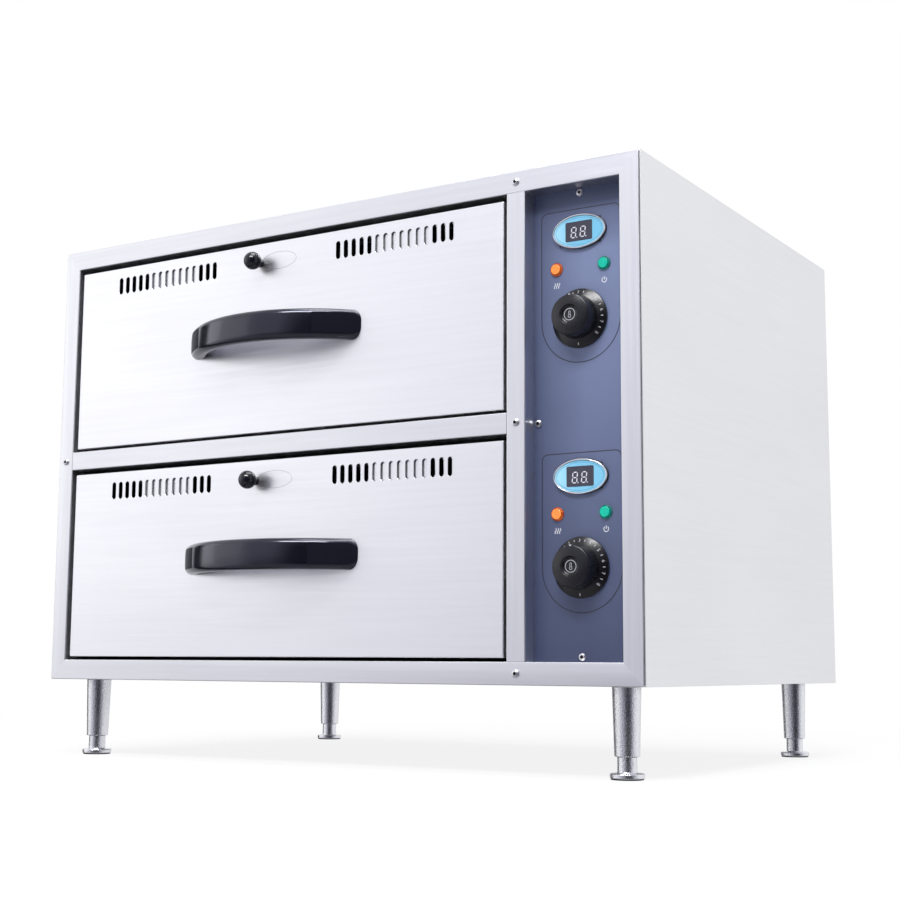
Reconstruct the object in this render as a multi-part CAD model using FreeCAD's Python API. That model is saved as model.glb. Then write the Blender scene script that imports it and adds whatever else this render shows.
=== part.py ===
import FreeCAD, Part
import math
import os

# A countertop warming cabinet with two drawers, each holding one gastronorm pan,
# and a recessed control bay at the right. Millimetres, +Z up, the front faces -Y.
# The origin is the middle of the whole object's footprint, on the surface it stands on.

os.makedirs("parts", exist_ok=True)
V = FreeCAD.Vector

# ---------------------------------------------------------------- driving dimensions
# casing (its width follows from the pan, the slides and the control bay)
body_height = 500.0
body_depth = 528.0
casing_sheet = 1.2
casing_flange = 14.0
liner_sheet = 1.0
panel_clearance = 0.3
tiny = 0.01
back_screw_pitch = 190.0
leg_height = 85.0

# front frame, folded from sheet
stile_width = 20.5
rail_height = 22.0
frame_depth = 19.0
frame_seam = 0.3
middle_rail_height = 21.0
mullion_width = 20.5
control_width = 101.5
tab_width = 14.0
tab_length = 16.0

# M4 button-head screws
screw_radius = 2.0
screw_head_radius = 3.8
screw_head_height = 2.2
screw_crown_share = 0.55
screw_length = 8.0
socket_radius = 1.3
socket_depth = 1.2
thread_clearance = 0.05
screw_hole_clearance = 0.3

# cavities and insulation
rear_wool_depth = 63.0
wool_clearance = 0.4

# drawer fronts
front_setback = 2.5
front_thickness = 24.0
front_side_gap = 4.5
front_bottom_gap = 3.5
front_top_gap = 5.5

# vents and their shutter
vent_count = 15
vent_width = 5.0
vent_height = 19.0
vent_pitch = 10.07
vent_drop = 21.5
vent_group_offset = 155.3
shutter_slot_width = 4.9
shutter_first_blank = 5
shutter_last_blank = 11
shutter_margin = 6.0
shutter_standoff = 0.8
shutter_sheet = 1.0
shutter_clearance = 0.25
guide_lip = 3.0
guide_wall = 1.2

# vent ball knob
vent_ball_radius = 9.7
vent_ball_reach = 13.9
vent_neck_radius = 3.5
vent_neck_foot_radius = 4.0
vent_base_radius = 4.6
vent_base_thickness = 1.0
vent_stud_radius = 2.5
vent_collar_radius = 4.5
vent_stud_tail = 3.0
vent_knob_offset = -19.5
vent_knob_drop = 0.6

# bow handle
handle_half_length = 116.0
handle_inner_half = 91.0
handle_end_radius = 9.0
handle_projection = 53.5
handle_crown_thickness = 14.5
handle_height = 32.0
handle_edge_radius = 4.0
handle_screw_spacing = 200.0
handle_screw_radius = 2.5
handle_screw_depth = 9.0

# telescopic slides
slide_rear_gap = 17.5
slide_setback = 1.0
slide_height = 45.0
slide_thickness = 12.7
slide_sheet = 1.5
slide_gap = 0.5
slide_centre_height = 105.0
slide_lip = 7.5
slide_inner_return = 6.8

# pan and its carrier
pan_length = 530.0
pan_width = 325.0
pan_sheet = 1.0
pan_rim = 11.0
pan_corner_radius = 28.0
pan_floor_radius = 14.0
pan_floor_gap = 16.0
pan_drop_below_vents = 12.5
pan_clearance = 3.0
pan_side_room = 12.1
ledge_width = 8.0
carrier_sheet = 1.2
carrier_side_height = 85.0
carrier_bar_height = 45.0

# control bay
control_panel_sheet = 1.5
bay_frame_width = 14.5
panel_screw_edge = 4.7
knob_rise = -20.75
lamp_rise = 30.55
display_rise = 65.25
lamp_offset = 25.5

# thermostat and knob
knob_skirt_radius = 29.0
knob_skirt_edge = 2.5
knob_skirt_height = 6.0
knob_base_radius = 21.0
knob_face_radius = 19.7
knob_height = 25.0
knob_gap = 0.5
knob_recess_radius = 9.0
knob_recess_depth = 2.5
spindle_radius = 3.0
spindle_depth_in_knob = 14.0
spindle_fit = 0.05
spindle_reach_in_body = 12.0
bush_radius = 5.0
thermostat_width = 34.0
thermostat_depth = 30.0

# displays and lamps
display_half_width = 28.7
display_half_height = 17.2
display_bezel_width = 3.6
display_bezel_height = 4.0
display_window_setback = 1.4
display_case_width = 44.0
display_case_height = 25.0
display_case_depth = 22.0
lamp_bezel_radius = 6.6
lamp_bezel_height = 1.8
lamp_lens_radius = 5.0
lamp_lens_height = 3.4
lamp_lens_edge = 1.2
lamp_body_radius = 4.8
lamp_body_length = 24.0
cutout_clearance = 0.3

# heaters
heater_radius = 4.0
heater_side_inset = 70.0
heater_front_inset = 60.0
heater_rear_inset = 90.0
heater_bend_radius = 40.0
heater_rest_gap = 0.3
heater_flange_radius = 9.0
heater_flange_thickness = 3.0
heater_tail = 12.0

# mains connection
terminal_length = 60.0
terminal_width = 24.0
terminal_height = 26.0
terminal_base = 6.0
gland_offset_from_side = 62.0
gland_height = 62.0
gland_thread_radius = 9.0
gland_nut_radius = 13.0
gland_dome_radius = 12.0
gland_flange_thickness = 4.0
gland_reach = 18.0
gland_bore_radius = 4.5
gland_inside_length = 14.0

# legs
leg_inset_side = 38.0
leg_inset_end = 40.0
sleeve_length = 64.0
sleeve_top_radius = 14.0
sleeve_bottom_radius = 12.0
foot_insert_radius = 9.0
foot_fit = 0.08
foot_disc_radius = 16.2
foot_disc_thickness = 6.0
foot_disc_edge = 1.5
foot_insert_hidden = 44.0
foot_stud_radius = 5.0
foot_stud_length = 10.0
leg_stud_radius = 4.0
leg_stud_length = 9.0
leg_nut_radius = 7.5
leg_nut_height = 6.0

# rear vents of the control bay
louvre_count = 6
louvre_length = 60.0
louvre_height = 4.0
louvre_pitch = 14.0

# ---------------------------------------------------------------- derived places
handle_reach = handle_projection - front_setback
front = (handle_reach - body_depth - gland_reach) / 2
back = front + body_depth
base = leg_height
top = base + body_height
opening_width = pan_length + 2 * (pan_side_room + carrier_sheet + slide_thickness)
frame_width = 2 * stile_width + opening_width + mullion_width + control_width
body_width = frame_width + 2 * (frame_seam + casing_sheet)
side_inner = body_width / 2 - casing_sheet
frame_half = side_inner - frame_seam
control_right = frame_half - stile_width
control_left = control_right - control_width
drawer_right = control_left - mullion_width
drawer_left = -control_right
opening_bottom = base + rail_height
opening_top = top - rail_height
opening_height = (opening_top - opening_bottom - middle_rail_height) / 2
middle_rail_bottom = opening_bottom + opening_height
middle_rail_top = middle_rail_bottom + middle_rail_height
middle_rail_centre = (middle_rail_bottom + middle_rail_top) / 2
frame_back = front + frame_depth
cavity_back = back - rear_wool_depth
mullion_centre = (drawer_right + control_left) / 2
drawer_centre = (drawer_left + drawer_right) / 2
control_centre = (control_left + control_right) / 2
panel_face = frame_back
panel_back = panel_face + control_panel_sheet
floors = {"upper": middle_rail_top, "lower": opening_bottom}

front_left = drawer_left + front_side_gap
front_right = drawer_right - front_side_gap
front_face = front + front_setback
skin_back = front_face + casing_sheet
front_back = front_face + front_thickness
slide_start = front_back + slide_setback
slide_end = cavity_back - slide_rear_gap
shutter_front = skin_back + shutter_standoff
shutter_back = shutter_front + shutter_sheet
vent_travel = vent_pitch / 2


# ---------------------------------------------------------------- small tools
def box(x0, x1, y0, y1, z0, z1):
    return Part.makeBox(x1 - x0, y1 - y0, z1 - z0, V(x0, y0, z0))


def along_y(radius, x, z, y0, y1):
    return Part.makeCylinder(radius, y1 - y0, V(x, y0, z), V(0, 1, 0))


def along_x(radius, y, z, x0, x1):
    return Part.makeCylinder(radius, x1 - x0, V(x0, y, z), V(1, 0, 0))


def along_z(radius, x, y, z0, z1):
    return Part.makeCylinder(radius, z1 - z0, V(x, y, z0), V(0, 0, 1))


def joined(shapes):
    whole = shapes[0].fuse(shapes[1:]) if len(shapes) > 1 else shapes[0]
    return whole.removeSplitter()


def group(shapes):
    return Part.makeCompound(shapes)


def export(name, shape):
    shape.exportStep("parts/" + name + ".step")


def prism_xz(points, y0, y1):
    """A flat outline in X and Z, given thickness from y0 to y1."""
    corners = [V(x, y0, z) for x, z in points]
    wire = Part.makePolygon(corners + [corners[0]])
    return Part.Face(wire).extrude(V(0, y1 - y0, 0))


def oval(half_width, half_height, x, z, y0, y1):
    ellipse = Part.Ellipse(V(0, 0, 0), half_width, half_height).toShape()
    face = Part.Face(Part.Wire([ellipse]))
    face.rotate(V(0, 0, 0), V(1, 0, 0), 90)
    face.translate(V(x, y0, z))
    return face.extrude(V(0, y1 - y0, 0))


def rounded_slot(x, z, width, height, y0, y1):
    """An upright slot with round ends, through a sheet."""
    radius = width / 2
    half = height / 2 - radius
    ends = [along_y(radius, x, z + s * half, y0, y1) for s in (-1, 1)]
    return joined([box(x - radius, x + radius, y0, y1, z - half, z + half)] + ends)


def screw(x, y, z, direction, radius=screw_radius, length=screw_length):
    """A button-head screw whose head sits on the point and whose shank goes along direction."""
    scale = radius / screw_radius
    head_height = screw_head_height * scale
    head_radius = screw_head_radius * scale
    seat = V(x, y, z)
    out = V(direction).multiply(-1)
    head = Part.makeCone(head_radius, head_radius * screw_crown_share, head_height, seat, out)
    shank = Part.makeCylinder(radius, length, seat, direction)
    crown = seat + V(out).multiply(head_height)
    socket = Part.makeCylinder(socket_radius * scale, socket_depth * scale, crown, direction)
    return head.fuse(shank).cut(socket).removeSplitter()


# ---------------------------------------------------------------- front frame
frame_outline_top = [(-frame_half, top), (frame_half, top),
                     (control_right, opening_top), (drawer_left, opening_top)]
frame_outline_bottom = [(-frame_half, base), (drawer_left, opening_bottom),
                        (control_right, opening_bottom), (frame_half, base)]


def channel_along_x(x0, x1, z0, z1):
    """A channel folded from sheet, its open side to the rear."""
    inside = box(x0, x1, front + casing_sheet, frame_back, z0 + casing_sheet, z1 - casing_sheet)
    return box(x0, x1, front, frame_back, z0, z1).cut(inside)


def channel_along_z(x0, x1, z0, z1):
    inside = box(x0 + casing_sheet, x1 - casing_sheet, front + casing_sheet, frame_back, z0, z1)
    return box(x0, x1, front, frame_back, z0, z1).cut(inside)


tab_front = front + casing_sheet
tab_back = tab_front + casing_sheet
face_hole = screw_radius + screw_hole_clearance
tab_hole = screw_radius + thread_clearance
tab_slot = tab_width / 2 + panel_clearance

frame_screw_places = [
    (mullion_centre, top - rail_height / 2),
    (mullion_centre, middle_rail_centre),
    (mullion_centre, base + rail_height / 2),
    (-frame_half + stile_width / 2, middle_rail_centre),
]


def face_holes():
    return [along_y(face_hole, x, z, front, tab_front) for x, z in frame_screw_places]


def tab_notch_for_mullion(z0, z1):
    return box(mullion_centre - tab_slot, mullion_centre + tab_slot,
               tab_front, tab_back + panel_clearance, z0, z1)


def tab_notch_for_middle_rail(x0, x1):
    return box(x0, x1, tab_front, tab_back + panel_clearance,
               middle_rail_centre - tab_slot, middle_rail_centre + tab_slot)


def frame_rail(z0, z1, outline, notch):
    rail = channel_along_x(-frame_half, frame_half, z0, z1)
    rail = rail.common(prism_xz(outline, front, frame_back))
    return rail.cut([notch] + face_holes())


def frame_stile(x0, x1, outline, cuts):
    stile = channel_along_z(x0, x1, base, top)
    return stile.common(prism_xz(outline, front, frame_back)).cut(cuts)


top_rail = frame_rail(opening_top, top, frame_outline_top,
                      tab_notch_for_mullion(opening_top, opening_top + casing_sheet))
bottom_rail = frame_rail(base, opening_bottom, frame_outline_bottom,
                         tab_notch_for_mullion(opening_bottom - casing_sheet, opening_bottom))
left_stile = frame_stile(
    -frame_half, drawer_left,
    [(-frame_half, base), (-frame_half, top), (drawer_left, opening_top), (drawer_left, opening_bottom)],
    [tab_notch_for_middle_rail(drawer_left - casing_sheet, drawer_left)] + face_holes())
right_stile = frame_stile(
    control_right, frame_half,
    [(frame_half, base), (control_right, opening_bottom), (control_right, opening_top), (frame_half, top)],
    face_holes())

mullion_tabs = [
    box(mullion_centre - tab_width / 2, mullion_centre + tab_width / 2, tab_front, tab_back,
        z - tab_length, z + tab_length)
    for z in (opening_top, opening_bottom)
]
mullion_bar = channel_along_z(drawer_right, control_left, opening_bottom, opening_top)
centre_mullion = joined([mullion_bar] + mullion_tabs)
centre_mullion = centre_mullion.cut(
    [tab_notch_for_middle_rail(drawer_right, drawer_right + casing_sheet),
     along_y(face_hole, mullion_centre, middle_rail_centre, front, tab_front)]
    + [along_y(tab_hole, x, z, tab_front, tab_back)
       for x, z in frame_screw_places if abs(z - middle_rail_centre) > tab_length])

middle_rail_bar = channel_along_x(drawer_left, drawer_right, middle_rail_bottom, middle_rail_top)
middle_rail_tabs = [
    box(x - tab_length, x + tab_length, tab_front, tab_back,
        middle_rail_centre - tab_width / 2, middle_rail_centre + tab_width / 2)
    for x in (drawer_left, drawer_right)
]
middle_rail = joined([middle_rail_bar] + middle_rail_tabs)
middle_rail = middle_rail.cut(
    [along_y(tab_hole, x, z, tab_front, tab_back)
     for x, z in frame_screw_places if abs(z - middle_rail_centre) < tab_length])

export("frame_top_rail", top_rail)
export("frame_bottom_rail", bottom_rail)
export("frame_left_stile", left_stile)
export("frame_right_stile", right_stile)
export("centre_mullion", centre_mullion)
export("middle_rail", middle_rail)

# ---------------------------------------------------------------- casing panels
back_face_inner = back - casing_sheet
rear_flange_front = back_face_inner - casing_sheet
bottom_top = base + casing_sheet
top_under = top - casing_sheet
body_middle = base + body_height / 2
back_screw_places = [(s * (side_inner - casing_flange / 2), body_middle + k * back_screw_pitch)
                     for s in (-1, 1) for k in (-1, 0, 1)]


def side_panel(side):
    """A side sheet with a return flange on each edge; side is -1 for left, 1 for right."""
    def spanned(a, b, y0, y1, z0, z1):
        return box(min(side * a, side * b), max(side * a, side * b), y0, y1, z0, z1)

    inner_edge = side_inner - casing_flange
    sheet = spanned(side_inner, body_width / 2, front + casing_sheet, back, base, top)
    low = bottom_top
    high = top_under
    flanges = [
        spanned(inner_edge, side_inner, frame_back, frame_back + casing_sheet, low, high),
        spanned(inner_edge, side_inner, rear_flange_front, back_face_inner, low, high),
        spanned(inner_edge, side_inner, frame_back, back_face_inner, low, low + casing_sheet),
        spanned(inner_edge, side_inner, frame_back, back_face_inner, high - casing_sheet, high),
    ]
    holes = [along_y(tab_hole, x, z, rear_flange_front, back_face_inner)
             for x, z in back_screw_places if x * side > 0]
    return joined([sheet] + flanges).cut(holes)


panel_half = side_inner - panel_clearance
top_panel = box(-panel_half, panel_half, frame_back, back, top_under, top)

gland_x = side_inner - gland_offset_from_side
gland_z = base + gland_height
louvre_x = (control_left + side_inner) / 2
louvre_low = body_middle
back_panel = box(-panel_half, panel_half, back_face_inner, back, bottom_top, top_under)
louvres = [box(louvre_x - louvre_length / 2, louvre_x + louvre_length / 2, back_face_inner, back,
               louvre_low + i * louvre_pitch, louvre_low + i * louvre_pitch + louvre_height)
           for i in range(louvre_count)]
back_holes = [along_y(face_hole, x, z, back_face_inner, back) for x, z in back_screw_places]
gland_hole = along_y(gland_thread_radius + panel_clearance, gland_x, gland_z, back_face_inner, back)
back_panel = back_panel.cut(louvres + back_holes + [gland_hole])

leg_places = [(sx * (body_width / 2 - leg_inset_side), y)
              for y in (front + leg_inset_end, back - leg_inset_end) for sx in (-1, 1)]
bottom_panel = box(-panel_half, panel_half, frame_back, back, base, bottom_top)
bottom_panel = bottom_panel.cut([along_z(leg_stud_radius + panel_clearance, x, y, base, bottom_top)
                                 for x, y in leg_places])

export("left_side_panel", side_panel(-1))
export("right_side_panel", side_panel(1))
export("top_panel", top_panel)
export("back_panel", back_panel)
export("bottom_panel", bottom_panel)

# ---------------------------------------------------------------- control bay metalwork
bay_middles = {side: z + opening_height / 2 for side, z in floors.items()}
display_places = [(control_centre, z + display_rise) for z in bay_middles.values()]
knob_places = {side: (control_centre, z + knob_rise) for side, z in bay_middles.items()}
heat_lamp_places = [(control_centre - lamp_offset, z + lamp_rise) for z in bay_middles.values()]
power_lamp_places = [(control_centre + lamp_offset, z + lamp_rise) for z in bay_middles.values()]
panel_screw_places = [
    (control_centre, opening_top - panel_screw_edge),
    (control_left + panel_screw_edge, middle_rail_centre),
    (control_centre, opening_bottom + panel_screw_edge),
]

bay_frame_back = panel_back + casing_sheet
bay_right = side_inner - casing_flange - panel_clearance
bay_low = bottom_top
bay_high = top_under
bay_wall = box(control_left, control_left + casing_sheet, panel_back, rear_flange_front, bay_low, bay_high)
bay_frame = box(control_left, bay_right, panel_back, bay_frame_back, bay_low, bay_high)
bay_window = box(control_left + bay_frame_width, control_right - panel_clearance, panel_back, bay_frame_back,
                 opening_bottom + bay_frame_width, opening_top - bay_frame_width)
control_bay_wall = joined([bay_wall, bay_frame]).cut(
    [bay_window] + [along_y(tab_hole, x, z, panel_back, bay_frame_back) for x, z in panel_screw_places])

control_panel = box(mullion_centre, bay_right, panel_face, panel_back,
                    base + rail_height / 2, top - rail_height / 2)
panel_cuts = [along_y(face_hole, x, z, panel_face, panel_back) for x, z in panel_screw_places]
panel_cuts += [along_y(lamp_body_radius + cutout_clearance, x, z, panel_face, panel_back)
               for x, z in heat_lamp_places + power_lamp_places]
panel_cuts += [along_y(bush_radius + cutout_clearance, x, z, panel_face, panel_back)
               for x, z in knob_places.values()]
case_cut_width = display_case_width / 2 + cutout_clearance
case_cut_height = display_case_height / 2 + cutout_clearance
panel_cuts += [box(x - case_cut_width, x + case_cut_width, panel_face, panel_back,
                   z - case_cut_height, z + case_cut_height) for x, z in display_places]
control_panel = control_panel.cut(panel_cuts)

export("control_panel", control_panel)

# ---------------------------------------------------------------- cavities
cavity_low = opening_bottom - liner_sheet
cavity_high = opening_top + liner_sheet
heater_y_back = cavity_back - heater_rear_inset
heater_y_front = frame_back + heater_front_inset
heater_terminal_ys = [heater_y_back, heater_y_back - 2 * heater_bend_radius]
heater_zs = [z + heater_radius + heater_rest_gap for z in floors.values()]


def heater_holes(x0, x1):
    radius = heater_radius + cutout_clearance
    return [along_x(radius, y, z, x0, x1) for y in heater_terminal_ys for z in heater_zs]


cavity_left_wall = box(drawer_left - liner_sheet, drawer_left, frame_back, cavity_back,
                       cavity_low, cavity_high)
cavity_right_wall = box(drawer_right, drawer_right + liner_sheet, frame_back, cavity_back,
                        cavity_low, cavity_high)
cavity_right_wall = cavity_right_wall.cut(heater_holes(drawer_right, drawer_right + liner_sheet))
cavity_floor = box(drawer_left, drawer_right, frame_back, cavity_back, cavity_low, opening_bottom)
cavity_roof = box(drawer_left, drawer_right, frame_back, cavity_back, opening_top, cavity_high)
cavity_rear = box(drawer_left - liner_sheet, drawer_right + liner_sheet, cavity_back,
                  cavity_back + liner_sheet, cavity_low, cavity_high)
divider_hollow = box(drawer_left, drawer_right, frame_back + liner_sheet, cavity_back - liner_sheet,
                     middle_rail_bottom + liner_sheet, middle_rail_top - liner_sheet)
cavity_divider = box(drawer_left, drawer_right, frame_back, cavity_back,
                     middle_rail_bottom, middle_rail_top).cut(divider_hollow)

control_bay_wall = control_bay_wall.cut(heater_holes(control_left, control_left + casing_sheet))

export("control_bay_wall", control_bay_wall)
export("cavity_left_wall", cavity_left_wall)
export("cavity_right_wall", cavity_right_wall)
export("cavity_floor", cavity_floor)
export("cavity_roof", cavity_roof)
export("cavity_rear", cavity_rear)
export("cavity_divider", cavity_divider)

# mineral wool slabs between the cavities and the casing
wool_front = frame_back + casing_sheet + wool_clearance
wool_back = back - screw_length - wool_clearance
wool_low = bottom_top + casing_sheet + wool_clearance
wool_high = top_under - casing_sheet - wool_clearance
side_wool_edge = side_inner - wool_clearance
wool_left = box(-side_wool_edge, drawer_left - liner_sheet - wool_clearance, wool_front,
                wool_back, wool_low, wool_high)
wool_right = box(drawer_right + liner_sheet + wool_clearance, control_left - wool_clearance,
                 panel_back + wool_clearance, wool_back, wool_low, wool_high)
wool_right = wool_right.cut(heater_holes(drawer_right, control_left))
middle_wool = (drawer_left - liner_sheet, drawer_right + liner_sheet)
wool_over = box(middle_wool[0], middle_wool[1], wool_front, wool_back,
                cavity_high + wool_clearance, wool_high)
wool_under = box(middle_wool[0], middle_wool[1], wool_front, wool_back,
                 wool_low, cavity_low - wool_clearance)
nut_pocket = leg_nut_radius + wool_clearance
wool_under = wool_under.cut([
    box(x - nut_pocket, x + nut_pocket, y - nut_pocket, y + nut_pocket, wool_low, cavity_low)
    for x, y in leg_places if x < 0])
wool_rear = box(middle_wool[0], middle_wool[1], cavity_back + liner_sheet + wool_clearance,
                wool_back, cavity_low, cavity_high)
export("insulation", group([wool_left, wool_right, wool_over, wool_under, wool_rear]))


# ---------------------------------------------------------------- heating elements
def heater(floor):
    """A tubular element: two legs through the bay wall, joined by rounded runs over the floor."""
    z = floor + heater_radius + heater_rest_gap
    y_back, y_near = heater_terminal_ys
    x_in = drawer_left + heater_side_inset
    x_out = control_left + casing_sheet + heater_tail
    x_turn = drawer_right - heater_side_inset
    r = heater_bend_radius

    def arc(start, middle, end):
        return Part.Arc(V(*start, z), V(*middle, z), V(*end, z)).toShape()

    def run(start, end):
        return Part.LineSegment(V(*start, z), V(*end, z)).toShape()

    k = r * (1 - math.sqrt(0.5))
    edges = [
        run((x_out, y_back), (x_in + r, y_back)),
        arc((x_in + r, y_back), (x_in + k, y_back - k), (x_in, y_back - r)),
        run((x_in, y_back - r), (x_in, heater_y_front + r)),
        arc((x_in, heater_y_front + r), (x_in + k, heater_y_front + k), (x_in + r, heater_y_front)),
        run((x_in + r, heater_y_front), (x_turn - r, heater_y_front)),
        arc((x_turn - r, heater_y_front), (x_turn - k, heater_y_front + k), (x_turn, heater_y_front + r)),
        run((x_turn, heater_y_front + r), (x_turn, y_near - r)),
        arc((x_turn, y_near - r), (x_turn + k, y_near - k), (x_turn + r, y_near)),
        run((x_turn + r, y_near), (x_out, y_near)),
    ]
    path = Part.Wire(edges)
    ring = Part.Wire([Part.makeCircle(heater_radius, V(x_out, y_back, z), V(1, 0, 0))])
    tube = path.makePipeShell([ring], True, True)
    flange_x = control_left + casing_sheet
    flanges = [along_x(heater_flange_radius, y, z, flange_x, flange_x + heater_flange_thickness)
               for y in heater_terminal_ys]
    return joined([tube] + flanges)


export("heating_elements", group([heater(z) for z in floors.values()]))

# ---------------------------------------------------------------- casing screws
casing_screws = [screw(x, front, z, V(0, 1, 0)) for x, z in frame_screw_places]
casing_screws += [screw(x, panel_face, z, V(0, 1, 0)) for x, z in panel_screw_places]
casing_screws += [screw(x, back, z, V(0, -1, 0)) for x, z in back_screw_places]
export("casing_screws", group(casing_screws))


# ---------------------------------------------------------------- displays and lamps
def display_housing(x, z):
    """The oval bezel in front of the panel and the case behind it."""
    bezel_front = panel_face - display_bezel_height
    window_front = bezel_front + display_window_setback
    rim = oval(display_half_width, display_half_height, x, z, bezel_front, panel_face)
    well = oval(display_half_width - display_bezel_width, display_half_height - display_bezel_width,
                x, z, bezel_front, panel_face - liner_sheet)
    case = box(x - display_case_width / 2, x + display_case_width / 2, panel_face - liner_sheet,
               panel_face + display_case_depth, z - display_case_height / 2, z + display_case_height / 2)
    window_gap = oval(display_half_width - display_bezel_width, display_half_height - display_bezel_width,
                      x, z, window_front, panel_face - liner_sheet)
    return rim.cut(well).fuse(case).cut(window_gap).removeSplitter()


def display_window(x, z):
    window_front = panel_face - display_bezel_height + display_window_setback
    half_width = display_half_width - display_bezel_width
    half_height = display_half_height - display_bezel_width
    return oval(half_width, half_height, x, z, window_front, panel_face - liner_sheet)


def lamp(x, z):
    """An indicator lamp: rim, domed lens and the body behind the panel."""
    rim = along_y(lamp_bezel_radius, x, z, panel_face - lamp_bezel_height, panel_face)
    lens = along_y(lamp_lens_radius, x, z, panel_face - lamp_lens_height, panel_face)
    crown = [e for e in lens.Edges if e.BoundBox.YMax < panel_face - lamp_lens_height + tiny]
    lens = lens.makeFillet(lamp_lens_edge, crown)
    body = along_y(lamp_body_radius, x, z, panel_face, panel_face + lamp_body_length)
    return joined([rim, lens, body])


export("display_housings", group([display_housing(x, z) for x, z in display_places]))
export("display_windows", group([display_window(x, z) for x, z in display_places]))
export("heat_lamps", group([lamp(x, z) for x, z in heat_lamp_places]))
export("power_lamps", group([lamp(x, z) for x, z in power_lamp_places]))


# ---------------------------------------------------------------- thermostats and knobs
def thermostat(x, z):
    """The switch body, its threaded bush through the panel, and the hole for its spindle."""
    half = thermostat_width / 2
    body = box(x - half, x + half, panel_back, panel_back + thermostat_depth, z - half, z + half)
    bush = along_y(bush_radius, x, z, panel_face, panel_back)
    hole = along_y(spindle_radius + spindle_fit, x, z, panel_face, panel_back + spindle_reach_in_body)
    return joined([body, bush]).cut(hole)


knob_back = panel_face - knob_gap
knob_front = knob_back - knob_height


def thermostat_knob(x, z):
    """A wide sloping skirt carrying a barrel grip, turned about the spindle's axis."""
    outward = V(0, -1, 0)
    disc = Part.makeCylinder(knob_skirt_radius, knob_skirt_edge, V(x, knob_back, z), outward)
    slope = Part.makeCone(knob_skirt_radius, knob_base_radius, knob_skirt_height - knob_skirt_edge,
                          V(x, knob_back - knob_skirt_edge, z), outward)
    barrel = Part.makeCone(knob_base_radius, knob_face_radius, knob_height - knob_skirt_height,
                           V(x, knob_back - knob_skirt_height, z), outward)
    recess = along_y(knob_recess_radius, x, z, knob_front, knob_front + knob_recess_depth)
    bore = along_y(spindle_radius, x, z, knob_back - spindle_depth_in_knob, knob_back)
    return joined([disc, slope, barrel]).cut([recess, bore])


def thermostat_spindle(x, z):
    return along_y(spindle_radius, x, z, knob_back - spindle_depth_in_knob,
                   panel_back + spindle_reach_in_body)


export("thermostats", group([thermostat(x, z) for x, z in knob_places.values()]))
for side, (knob_x, knob_z) in knob_places.items():
    export(side + "_thermostat_knob", thermostat_knob(knob_x, knob_z))
    export(side + "_thermostat_spindle", thermostat_spindle(knob_x, knob_z))


# ---------------------------------------------------------------- telescopic slides
def slide_section(near, far, half, wall_at_near, lip, y0, y1, floor, side):
    """One folded member of a slide: a web and two lips. near and far count from the cavity wall."""
    z = floor + slide_centre_height
    wall_x = drawer_left if side < 0 else drawer_right

    def spanned(a, b, z0, z1):
        xa = wall_x - side * a
        xb = wall_x - side * b
        return box(min(xa, xb), max(xa, xb), y0, y1, z0, z1)

    if wall_at_near:
        web = spanned(near, near + slide_sheet, z - half, z + half)
        lips = [spanned(near, near + lip, z - half, z - half + slide_sheet),
                spanned(near, near + lip, z + half - slide_sheet, z + half)]
    else:
        web = spanned(far - slide_sheet, far, z - half, z + half)
        lips = [spanned(far - lip, far, z - half, z - half + slide_sheet),
                spanned(far - lip, far, z + half - slide_sheet, z + half)]
    return joined([web] + lips)


outer_half = slide_height / 2
middle_half = outer_half - slide_sheet - slide_gap
inner_half = middle_half - slide_sheet - slide_gap
middle_near = slide_sheet + slide_gap


def slide_pair(kind, floor):
    members = []
    for side in (-1, 1):
        if kind == "outer":
            args = (0, slide_thickness, outer_half, True, slide_sheet + slide_lip)
        elif kind == "middle":
            args = (middle_near, slide_thickness, middle_half, True, slide_sheet + slide_lip)
        else:
            args = (middle_near, slide_thickness, inner_half, False, slide_sheet + slide_inner_return)
        members.append(slide_section(*args, slide_start, slide_end, floor, side))
    return members


outer_members = slide_pair("outer", floors["upper"]) + slide_pair("outer", floors["lower"])
export("outer_slide_members", group(outer_members))

# ---------------------------------------------------------------- drawers
carrier_left = drawer_left + slide_thickness
carrier_right = drawer_right - slide_thickness
pan_front = front_back + pan_clearance + carrier_sheet
pan_back = pan_front + pan_width
carrier_back = pan_back + pan_clearance + carrier_sheet


def mouth_fillet(solid, radius, chosen):
    return solid.makeFillet(radius, [e for e in solid.Edges if chosen(e.BoundBox)])


def is_along_y(bounds):
    return bounds.YLength > tiny and max(bounds.XLength, bounds.ZLength) < tiny


def is_upright(bounds):
    return bounds.ZLength > tiny and max(bounds.XLength, bounds.YLength) < tiny


def tub(half_length, half_width, y_middle, z0, z1, corner, floor_radius):
    block = box(drawer_centre - half_length, drawer_centre + half_length,
                y_middle - half_width, y_middle + half_width, z0, z1)
    block = mouth_fillet(block, corner, is_upright)
    return mouth_fillet(block, floor_radius, lambda b: b.ZMax < z0 + tiny)


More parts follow.
